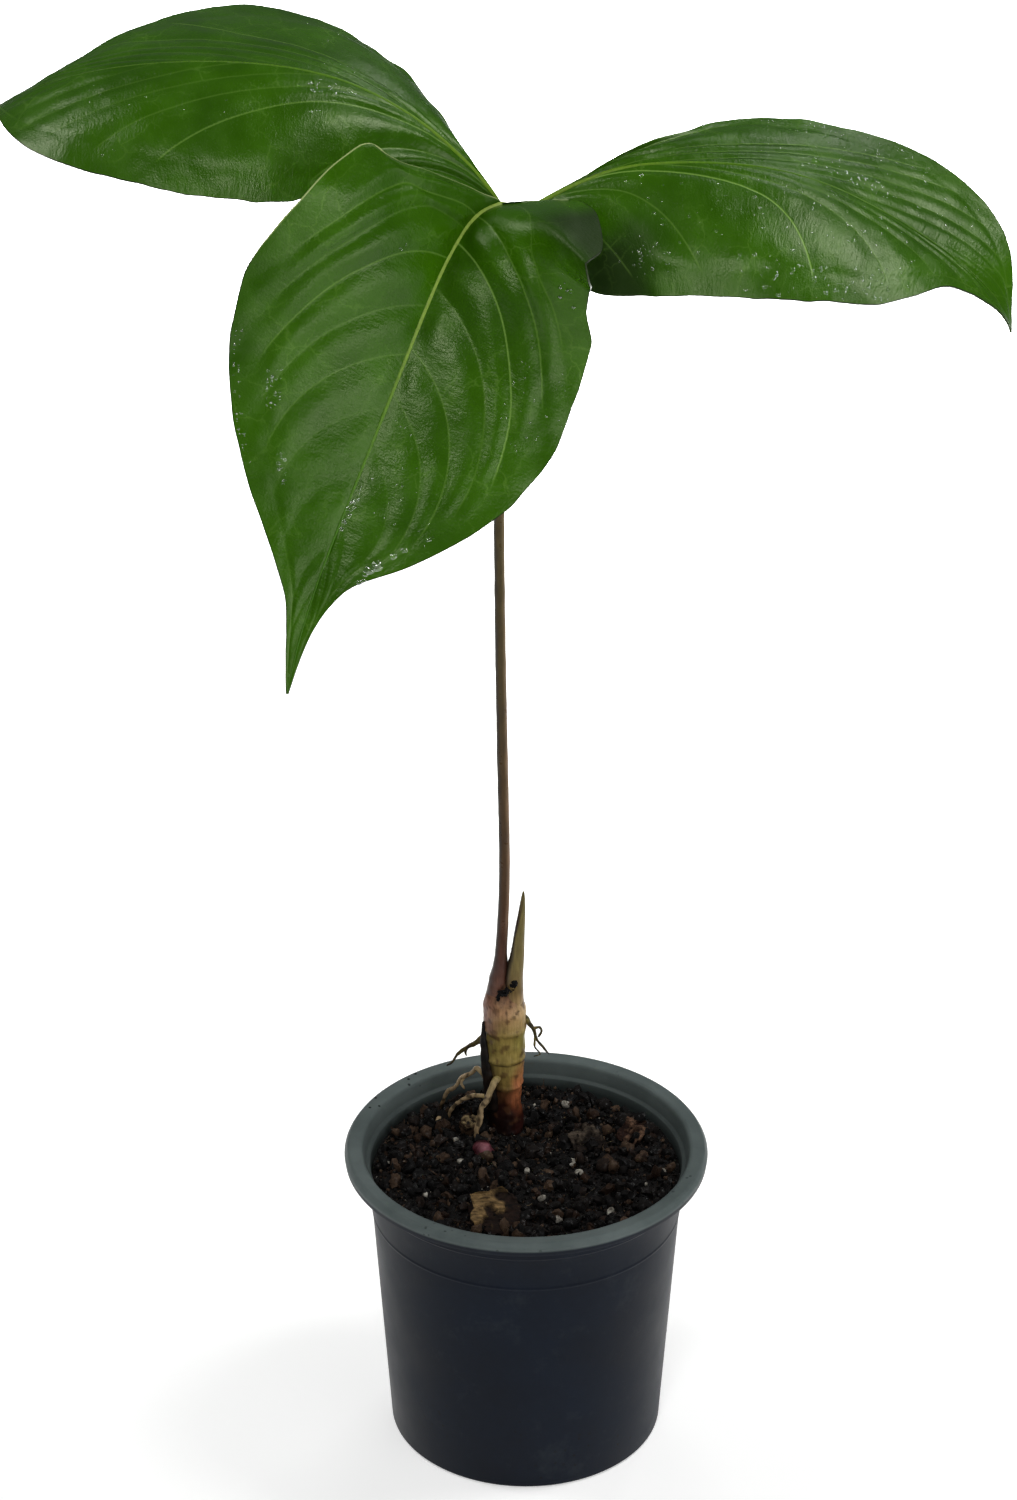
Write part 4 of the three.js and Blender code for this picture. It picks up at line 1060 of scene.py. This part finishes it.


# Leaflets. The heading and pitch, in degrees along the midrib, steer it, and roll turns the blade
# about it. A side's slope is how it lifts off level by the midrib, and outer the same SLOPE_SPAN out.
# Each margin is a list of rib station, along and out, in millimetres: from a rib station the blade's
# row runs to that place on the margin. A vein is the rib station where it starts, its rise towards
# the tip, how soon on its way out it rises (0 where it rises late) and how clearly it shows. pale is
# the side whose margin is pale and the share of the midrib as far as which it is, deep the side with
# a lobe in painted shade, a darker green, and the places along where that starts and is full, and 0
# is no side.

LEAFLETS = [
    {
        "name": "leaflet_front", "length": 160, "base": (-8, -2.5, 430), "pale": (1, 0.16),
        "deep": (-1, 8, -6),
        "heading": [(0, -148), (0.1, -134), (0.25, -125), (0.5, -127), (0.8, -132), (1, -126)],
        "pitch": [(0, 2), (0.04, -18), (0.1, -42), (0.3, -51), (0.55, -53), (0.8, -60), (1, -72)],
        "roll": [(0, 30), (0.08, 40), (0.3, 48), (1, 45)],
        "right": {
            "margin": [(0, 0, 1.2), (3, 4.4, 4.6), (6, 8.2, 10.6), (8, 11, 18), (9.4, 12.8, 25),
                       (11.8, 14.6, 32.5), (14.8, 15.4, 38.8), (16.6, 15.6, 42.8),
                       (17.4, 16.8, 45.2), (18.4, 20, 47.8), (20, 25, 50.8), (22.6, 32.8, 53.8),
                       (24.6, 38, 55), (31, 51, 57), (45, 69, 53), (65, 89, 43.5), (86, 107, 30),
                       (104, 120, 18), (124, 135, 7), (142, 148, 3), (160, 160, 0.4)],
            "slope": [(0, 48), (0.12, 42), (0.3, 26), (0.6, 12), (1, 8)],
            "outer": [(0, 34), (0.12, 26), (0.3, 4), (0.6, -6), (1, -14)],
            "veins": [(9, 31, 0, 0.2), (14.5, 40, 0, 0.08), (24.5, 46, 0, 0.24), (39.9, 42, 0, 0.1),
                      (55.2, 38, 0, 0.14), (72, 32, 0, 0.05), (92, 27, 0, 0.02), (115, 20, 0, 0)],
        },
        "left": {
            "margin": [(0, 0, 1.2), (0.6, -10, 5.5), (1.2, -15, 8.2), (2, -20, 11), (3, -19, 20),
                       (4, -15, 30), (5.4, -6, 44), (7, 4, 47), (9.4, 16, 44.5), (12, 22, 45),
                       (16, 31, 49), (26, 47, 50.5), (38, 63, 50.5), (56, 83, 45), (72, 98, 36),
                       (90, 112, 24), (112, 127, 8), (134, 141, 3), (160, 160, 0.4)],
            "slope": [(0, 42), (0.1, 40), (0.3, 24), (0.6, 12), (1, 8)],
            "outer": [(0, 0), (0.12, -5), (0.25, -4), (0.6, -6), (1, -14)],
            "veins": [(2.7, 30, 0, 0.15), (9, 40, 0, 0.25), (19, 62, 0, 0.6), (34, 60, 0, 0.14),
                      (53, 52, 0, 0.2), (67.5, 45, 0, 0.12), (84, 38, 0, 0.04), (106, 28, 0, 0)],
        },
    },
    {
        "name": "leaflet_right", "length": 164, "base": (1, 4.5, 427), "pale": (0, 0),
        "deep": (1, 46, 14),
        "heading": [(0, 10), (0.5, 0), (0.8, -8), (1, -15)],
        "pitch": [(0, 28), (0.12, 20), (0.22, 4), (0.4, -7), (0.6, -25), (0.78, -34), (0.9, -45),
                  (1, -75)],
        "roll": [(0, 0), (0.9, 0), (1, 25)],
        "right": {
            "margin": [(0, 0, 1.2), (1.2, -1, 10), (3, 0, 24), (6, 6, 33), (13, 24, 41), (24, 42, 44),
                       (44, 71, 46.5), (60, 89, 45.5), (74, 102, 42), (90, 116, 37), (106, 128, 26),
                       (122, 137, 14), (140, 150, 6), (164, 164, 0.4)],
            "slope": [(0, -50), (0.15, -35), (0.5, -18), (1, -10)],
            "outer": [(0, -75), (0.5, -60), (1, -40)],
            "veins": [(0, 12, 0.2, 0.2), (4, 28, 0.15, 0.2), (14, 55, 0.12, 0.75),
                      (36, 62, 0.18, 0.2), (58, 60, 0.2, 0.15), (82, 50, 0.22, 0.1),
                      (104, 38, 0.22, 0.08), (124, 26, 0.22, 0), (142, 14, 0.22, 0)],
        },
        "left": {
            "margin": [(0, 0, 1.2), (8, 14, 2), (17.6, 27, 6), (21, 39, 13.5), (28, 52, 23),
                       (38, 64, 30.5), (50, 77, 34.4), (66, 93, 34.7), (82, 108, 34.4),
                       (98, 121, 32.3), (112, 133, 28.5), (126, 143, 21.5), (138, 151, 12.5),
                       (150, 158, 5), (164, 164, 0.4)],
            "slope": [(0, 8), (0.4, 10), (0.7, 24), (1, 34)],
            "outer": [(0, 1), (0.4, 4), (0.7, 16), (1, 24)],
            "veins": [(-20, 100, 0.9, 0.3), (-10, 160, 0.75, 0.4), (16, 125, 0.6, 0.25),
                      (40, 108, 0.55, 0.2), (68, 84, 0.5, 0.15), (96, 60, 0.5, 0.1),
                      (122, 36, 0.5, 0.05), (142, 20, 0.5, 0)],
        },
    },
    {
        "name": "leaflet_left", "length": 168, "base": (-6.8, 4.2, 425.7), "pale": (0, 0),
        "deep": (0, 1, 0),
        "heading": [(0, 178), (0.5, 182), (0.8, 176), (1, 150)],
        "pitch": [(0, 60), (0.06, 52), (0.15, 44), (0.25, 34), (0.35, 23), (0.45, 11), (0.6, 1),
                  (0.75, -8), (0.87, -19), (1, -32)],
        "roll": [(0, 0), (1, 0)],
        "right": {
            "margin": [(0, 0, 1.2), (9.6, 16, 4), (17.4, 26, 10), (20.5, 35, 20), (28, 46, 33),
                       (38, 58, 41), (52, 74, 49), (68, 92, 54), (86, 108, 48), (100, 120, 39),
                       (115, 133, 27), (132, 146, 13), (148, 158, 6), (168, 168, 0.4)],
            "slope": [(0, 6), (1, 6)],
            "outer": [(0, -2), (1, -2)],
            "veins": [(-25, 70, 0.8, 0.2), (-5, 110, 0.3, 0.35), (22, 106, 0.35, 0.2),
                      (48, 98, 0.4, 0.12), (76, 74, 0.4, 0.1), (104, 50, 0.4, 0.08),
                      (128, 32, 0.4, 0.04), (148, 16, 0.4, 0)],
        },
        "left": {
            "margin": [(0, 0, 1.2), (3, 12, 6), (8, 25, 13), (16, 40, 22), (28, 56, 35), (42, 72, 44),
                       (56, 88, 46), (72, 104, 46), (89, 120, 43), (108, 137, 38), (128, 150, 29),
                       (146, 159, 17), (168, 168, 0.6)],
            "slope": [(0, -50), (0.15, -40), (0.4, -26), (1, -15)],
            "outer": [(0, -70), (0.5, -70), (1, -45)],
            "veins": [(2, 40, 0.3, 0.2), (20, 75, 0.3, 0.35), (42, 74, 0.32, 0.15),
                      (66, 68, 0.34, 0.12), (92, 52, 0.36, 0.12), (116, 36, 0.36, 0.06),
                      (138, 22, 0.36, 0), (156, 8, 0.36, 0)],
        },
    },
]


def heading_of(leaf, share):
    """Direction of the midrib at shares of its length"""
    heading = np.radians(through(leaf["heading"], 1, share))
    pitch = np.radians(through(leaf["pitch"], 1, share))
    return np.stack([np.cos(pitch) * np.cos(heading), np.cos(pitch) * np.sin(heading), np.sin(pitch)],
                    axis=-1)


def midrib_of(leaf):
    """The midrib as points, from its base to the tip"""
    shares = (np.arange(MIDRIB_STEPS) + 0.5) / MIDRIB_STEPS
    directions = heading_of(leaf, shares) * leaf["length"] / MIDRIB_STEPS
    return np.concatenate([[leaf["base"]], leaf["base"] + np.cumsum(directions, axis=0)])


def blade_places(leaf, midrib, sign, along, out):
    """Points of the blade's middle surface on one side, +1 right of travel and -1 left of it"""
    side = leaf["right"] if sign > 0 else leaf["left"]
    share = np.clip(along / leaf["length"], 0, 1)
    direction = heading_of(leaf, share)
    at = share * (len(midrib) - 1)
    point = np.stack([np.interp(at, np.arange(len(midrib)), midrib[:, i]) for i in range(3)], axis=-1)
    point = point + direction * (along - share * leaf["length"])[..., None]
    heading = np.radians(through(leaf["heading"], 1, share))
    roll = np.radians(through(leaf["roll"], 1, share))[..., None]
    level = np.stack([np.sin(heading), -np.cos(heading), np.zeros_like(heading)], axis=-1)
    upright = np.cross(level, direction)
    across = level * np.cos(roll) + upright * np.sin(roll)
    normal = upright * np.cos(roll) - level * np.sin(roll)
    first = np.radians(through(side["slope"], 1, share))
    last = np.radians(through(side["outer"], 1, share))
    parts = 8
    for i in range(parts):
        slope = first + (last - first) * out * (i + 0.5) / parts / SLOPE_SPAN
        point = point + across * (sign * np.cos(slope) * out / parts)[..., None]
        point = point + normal * (np.sin(slope) * out / parts)[..., None]
    return point


def vein_phase(veins, rib, edge):
    """Whole numbers where the side veins run, over a table of rib stations and shares of the way out"""
    phase = np.zeros_like(rib)
    for column in range(rib.shape[1]):
        e = edge[0, column]
        runs = [start + (rise * e**2.5 if soon == 0 else rise * (1 - math.exp(-e / soon)))
                for start, rise, soon, shown in veins]
        # Two more at each end, unseen, carry the quilting on to the base and to the tip
        runs = [runs[0] - 40, runs[0] - 20] + runs + [runs[-1] + 13, runs[-1] + 26]
        phase[:, column] = np.interp(rib[:, column], runs, np.arange(len(runs)) - 2.0)
    return phase


def vein_strength(veins, phase):
    """How clearly the nearest side vein shows, from 0 to 1"""
    shown = [0, 0] + [vein[3] for vein in veins] + [0, 0]
    return np.interp(phase, np.arange(len(shown)) - 2.0, shown)


def spread_of(places, values):
    """Millimetres over the surface for a change of one in the values"""
    du, dv = np.gradient(places, axis=0), np.gradient(places, axis=1)
    fu, fv = np.gradient(values, axis=0), np.gradient(values, axis=1)
    e, f, g = (du * du).sum(-1), (du * dv).sum(-1), (dv * dv).sum(-1)
    steep = (g * fu**2 - 2 * f * fu * fv + e * fv**2) / np.maximum(e * g - f * f, 1e-9)
    return np.clip(1 / np.sqrt(np.maximum(steep, 1e-6)), 0.5, 60)


def distance_out(places):
    """Millimetres over the surface from the middle column to each column"""
    half = BLADE_COLUMNS // 2
    steps = np.linalg.norm(np.diff(places, axis=1), axis=-1)
    left = np.cumsum(steps[:, :half][:, ::-1], axis=1)[:, ::-1]
    right = np.cumsum(steps[:, half:], axis=1)
    return np.concatenate([left, np.zeros((len(places), 1)), right], axis=1)


def row_at(share):
    """The blade's row that starts at this share of the midrib"""
    return int(round(share ** (1 / ROW_CROWD) * BLADE_ROWS))


def both_sides(leaf, rib, edge):
    """Tables of the places of a blade without its relief, of along and out, and of the side veins'
    phase and strength"""
    midrib = midrib_of(leaf)
    half = BLADE_COLUMNS // 2
    places = np.zeros(edge.shape + (3,))
    along, out, phase, shown = (np.zeros(edge.shape) for table in range(4))
    for sign, part in ((-1, slice(0, half)), (1, slice(half, BLADE_COLUMNS + 1))):
        side = leaf["right"] if sign > 0 else leaf["left"]
        phase[:, part] = vein_phase(side["veins"], rib[:, part], edge[:, part])
        shown[:, part] = vein_strength(side["veins"], phase[:, part])
        reach = through(side["margin"], 1, rib[:, part]) - rib[:, part]
        along[:, part] = rib[:, part] + reach * edge[:, part]
        scallop = 1 + 0.009 * noise_at(np.stack([along[:, part], edge[:, part] * 0, rib[:, part] * 0],
                                                axis=-1), 7, sign) * ease(0.6, 1, edge[:, part])
        out[:, part] = through(side["margin"], 2, rib[:, part]) * edge[:, part] * scallop
        places[:, part] = blade_places(leaf, midrib, sign, along[:, part], out[:, part])
    return places, along, out, phase, shown


def blade_relief(leaf, places, rib, edge, phase, outward, whole, loop_gap):
    """Millimetres that the upper face stands up: quilting between the side veins, a groove at their
    loop, a wavy margin and shallow dimples"""
    share = rib / leaf["length"]
    # It fades at the tip, and by the joint, where the leaflets lie close together
    full = ease(0, 9, rib + outward * 0.4) * ease(1, 0.85, share) * (0.35 + 0.65 * ease(1, 16, rib))
    inner = ease(0, 0.12, edge) * (1 - 0.75 * ease(0.72, 0.86, edge))
    deep = (0.25 + 0.75 * ease(0.5, 0.12, share)) * ease(4, 14, whole)
    quilt = 1.15 * np.abs(np.sin(math.pi * phase)) ** 1.2 * inner * deep
    groove = -0.3 * np.exp(-((loop_gap / 0.9) ** 2)) * inner
    wave = 0.8 * noise_at(places, 9, 6) * edge**5 * deep
    dimple = 0.13 * noise_at(places, 4.5, 3) + 0.5 * noise_at(places, 16, 4) * ease(0.1, 0.6, edge)
    return (quilt + groove + wave + dimple) * full


def blade_table(leaf):
    """Places and normals of the blade's upper face as tables, and what its material reads"""
    w = np.linspace(0, 1, BLADE_ROWS + 1)
    t = np.linspace(-1, 1, BLADE_COLUMNS + 1)
    edge = np.broadcast_to(np.abs(t) ** COLUMN_CROWD, (len(w), len(t)))
    rib = np.broadcast_to((leaf["length"] * w**ROW_CROWD)[:, None], edge.shape)
    places, along, out, phase, shown = both_sides(leaf, rib, edge)
    normal = np.cross(np.gradient(places, axis=1), np.gradient(places, axis=0))
    normal /= np.linalg.norm(normal, axis=-1)[..., None]
    outward = distance_out(places)
    whole = np.where(t < 0, outward[:, :1], outward[:, -1:])
    loop_gap = np.abs(edge - LOOP_SHARE) * whole
    relief = blade_relief(leaf, places, rib, edge, phase, outward, whole, loop_gap)
    places = places + normal * relief[..., None]
    share = rib / leaf["length"]
    pale_side, pale_share = leaf["pale"]
    shade_side, shade_start, shade_full = leaf["deep"]
    fields = {
        # 40 more keeps it above 0 everywhere, and a whole number still marks a vein
        "vein_phase": phase + 40,
        "vein_gap": spread_of(places, phase),
        "vein_show": shown * (1 - ease(0.78, 0.86, edge)) * ease(0, 5, rib + outward * 0.3),
        "edge_gap": whole - outward,
        "loop_gap": loop_gap,
        "edge_pale": (np.sign(t) == pale_side) * ease(pale_share + 0.05, pale_share, share),
        # Painted shade, where a lobe lies in shade
        "painted_shade": (np.sign(t) == shade_side) * ease(shade_start, shade_full, along) * ease(14, 26, out),
        "blade_mm": np.stack([np.sign(t) * out, along, np.zeros_like(out)], axis=-1),
    }
    return places, normal, fields


# A midrib's radius at its base, how deep it lies in the blade as a share of that, and its colours
BRIGHT_RIB = (1.15, 0.35, [(0, "#5a5a1e"), (0.04, "#93ab46"), (0.35, "#7d9a3c"), (0.5, "#5a8220"),
                           (0.7, "#42710c"), (1, "#356204")])
DULL_RIB = (0.95, 0.6, [(0, "#5a5a1e"), (0.05, "#6f8f20"), (0.35, "#547d14"), (1, "#3a6008")])


def make_ridge(leaf, normal):
    """The leaflet's short stalk and its midrib, as one tapered limb"""
    thick, sunk, stops = BRIGHT_RIB if leaf["name"] == "leaflet_front" else DULL_RIB
    midrib = midrib_of(leaf)
    upward = normal[:, BLADE_COLUMNS // 2]
    junction = np.array(JUNCTION)
    stalk = np.array(leaf["base"]) - junction
    stations = [[*(junction + stalk / np.linalg.norm(stalk) * 1.5), 1.5]]
    for share in np.linspace(0, 0.97, 26):
        radius = thick * (1 - 0.82 * share**0.6)
        point = midrib[int(round(share * MIDRIB_STEPS))] - upward[row_at(share)] * radius * sunk
        stations.append([*point, radius])

    def colour(angle, places, travel):
        return along_colours(stops, travel / travel.max())

    return limb(leaf["name"] + "_midrib", stations, 14, 180, None, colour)


def make_leaflet(leaf, upper, under, rib_skin, water):
    """The blade as a thickened sheet, with its midrib and stalk, and its drops"""
    places, normal, fields = blade_table(leaf)
    make_drops(leaf, places, normal, water)
    blade = grid_piece(leaf["name"] + "_blade", places, **fields)
    blade.data.materials.append(upper)
    blade.data.materials.append(under)
    apply_modifier(blade, "SOLIDIFY", thickness=BLADE_THICKNESS * MM, offset=-1, material_offset=1)
    ridge = make_ridge(leaf, normal)
    ridge.data.materials.append(rib_skin)
    piece = joined(leaf["name"] + "_blade", [blade, ridge])
    smooth(piece, 60)
    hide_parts(leaf["name"])
    dress(piece, "leaf_blade")


# Where drops lie: the side, +1 right of travel and -1 left of it, ranges of rib station in
# millimetres and of the share of the way out, their number, and their smallest and largest radius

DROPS = {
    "leaflet_front": [
        (1, 57, 68, 0.72, 0.8, 30, 0.25, 0.8), (1, 46, 82, 0.94, 0.985, 40, 0.2, 0.5),
        (1, 80, 90, 0.69, 0.75, 16, 0.25, 0.7), (1, 25, 27, 0.3, 0.34, 3, 0.3, 0.6),
        (-1, 94, 108, 0.02, 0.14, 30, 0.25, 0.8), (-1, 97, 104, 0.84, 0.92, 6, 1.0, 2.0),
        (-1, 104, 107, 0.95, 0.98, 2, 0.8, 1.4), (-1, 90, 94, 0.8, 0.85, 4, 0.5, 1.3),
        (-1, 80, 84, 0.76, 0.9, 6, 0.3, 0.9), (-1, 24, 48, 0.62, 0.97, 34, 0.2, 0.45),
        (-1, 9, 13, 0.78, 0.95, 10, 0.25, 0.7), (-1, 70, 100, 0.1, 0.6, 24, 0.2, 0.45),
    ],
    "leaflet_right": [
        (-1, 74, 106, 0.16, 0.34, 60, 0.25, 0.85), (-1, 58, 92, 0.7, 0.93, 52, 0.25, 0.8),
        (-1, 30, 60, 0.85, 0.97, 14, 0.25, 0.6), (-1, 60, 130, 0.2, 0.95, 60, 0.2, 0.5),
        (1, 11, 26, 0.55, 0.86, 34, 0.25, 0.75), (1, 40, 104, 0.72, 0.985, 90, 0.25, 0.9),
        (1, 26, 112, 0.1, 0.75, 100, 0.22, 0.8), (1, 2, 10, 0.1, 0.35, 6, 0.3, 0.6),
    ],
    "leaflet_left": [
        (1, 44, 60, 0.5, 0.85, 8, 0.3, 0.6), (1, 55, 72, 0.07, 0.25, 9, 0.3, 0.6),
        (-1, 55, 71, 0.06, 0.19, 22, 0.35, 0.9), (-1, 54, 62, 0.27, 0.36, 4, 0.3, 0.6),
        (-1, 103, 107, 0.8, 0.9, 3, 0.3, 0.5), (1, 26, 34, 0.35, 0.45, 3, 0.3, 0.5),
        (-1, 60, 130, 0.1, 0.8, 14, 0.2, 0.4),
    ],
}


def flat_drop():
    """A drop one millimetre in radius that lies flat on the blade"""
    drop = add(bpy.ops.mesh.primitive_ico_sphere_add, "drop", subdivisions=3, radius=MM)
    places = points_of(drop)
    places[:, 2] *= np.where(places[:, 2] < 0, 0.12, 0.5)
    places[:, :2] *= (1 + 0.1 * noise_at(places, 1.1, 2))[:, None]
    move_points(drop, places)
    return drop


def make_drops(leaf, places, normal, water):
    source = random.Random(leaf["name"])
    settings = []
    for sign, low, high, near, far, count, smallest, largest in DROPS[leaf["name"]]:
        for i in range(count):
            rib = source.uniform(low, high)
            edge = source.uniform(near, far)
            row = row_at(rib / leaf["length"])
            column = int(round((1 + sign * edge ** (1 / COLUMN_CROWD)) * BLADE_COLUMNS / 2))
            size = smallest + (largest - smallest) * source.random() ** 2
            turn = Vector(normal[row, column]).to_track_quat("Z", "Y")
            shape = (size, size * source.uniform(0.75, 1), size * source.uniform(0.8, 1.1))
            settings.append((places[row, column], turn, shape, 0.5))
    drops = scatter(leaf["name"] + "_drops", [flat_drop()], settings)
    # Water passes the light on, so a drop casts no dark shadow on the blade
    drops.visible_shadow = False
    dress(drops, "leaf_blade", water)


# Stage

# Name, place, target, width and height in metres, power in watts and spread in degrees: soft lights
# overhead on both sides, low on the right, behind and in front, and one with a grid that lights only
# the floor behind the plant

PLANT_MIDDLE = (0, 0, 0.3)
LIGHTS = [
    ("top_right_light", (0.95, 0.08, 1.75), PLANT_MIDDLE, 0.6, 0.6, 11, 180),
    ("top_left_light", (-0.95, 0.15, 1.75), PLANT_MIDDLE, 0.5, 0.5, 7, 180),
    ("strip_light", (1.05, -0.97, 0.42), (-0.06, -0.04, 0.4), 1.4, 0.2, 5, 180),
    ("back_light", (0.66, 1.4, 1.7), PLANT_MIDDLE, 0.3, 0.3, 2, 180),
    ("front_light", (-0.15, -1.14, 1.45), PLANT_MIDDLE, 0.35, 0.35, 6, 180),
    ("background_light", (0, 1.7, 2.3), (0, 1.5, 0), 1.2, 1.2, 40, 50),
]


def make_light(name, place, target, width, height, power, spread):
    light = add(bpy.ops.object.light_add, name, type="AREA", location=place)
    light.data.shape = "ELLIPSE"
    light.data.size = width
    light.data.size_y = height
    light.data.energy = power
    light.data.spread = math.radians(spread)
    light.rotation_euler = (Vector(target) - Vector(place)).to_track_quat("-Z", "Y").to_euler()


def set_stage():
    """A pale floor in a dim room with soft lights"""
    floor = add(bpy.ops.mesh.primitive_plane_add, "studio_floor", size=14)
    floor.data.materials.append(pale_sweep())
    world = bpy.data.worlds.new("studio_dim")
    bpy.context.scene.world = world
    world.use_nodes = True
    world.node_tree.nodes["Background"].inputs["Color"].default_value = linear("#f6f8fa")
    world.node_tree.nodes["Background"].inputs["Strength"].default_value = 0.1
    for light in LIGHTS:
        make_light(*light)
    bpy.context.scene.view_settings.view_transform = "Standard"


def set_camera():
    """The photograph's view: 26.5 degrees down from 1.2 m, with a 92 mm lens on a 36 mm frame"""
    camera = add(bpy.ops.object.camera_add, "photo_camera", location=(-0.0058, -1.0739, 0.7864),
                 rotation=(math.radians(63.5), 0, 0))
    camera.data.sensor_fit = "VERTICAL"
    camera.data.sensor_height = 36
    camera.data.sensor_width = 36
    camera.data.lens = 92
    bpy.context.scene.camera = camera


def main():
    peat = moist_peat()
    bark = conifer_bark()
    make_pot()
    make_soil(peat)
    make_crumbs(peat)
    make_perlite()
    for chip in CHIPS:
        make_chip(bark, *chip)
    make_stem()
    make_petiole()
    make_new_leaf()
    make_notch_crumbs(peat)
    make_bud()
    upper, under = leaf_cuticle(), leaf_underside()
    rib_skin = living_skin("leaf_rib", 0.4, 0.12)
    water = clear_water()
    for leaf in LEAFLETS:
        make_leaflet(leaf, upper, under, rib_skin, water)
    set_stage()
    set_camera()


main()
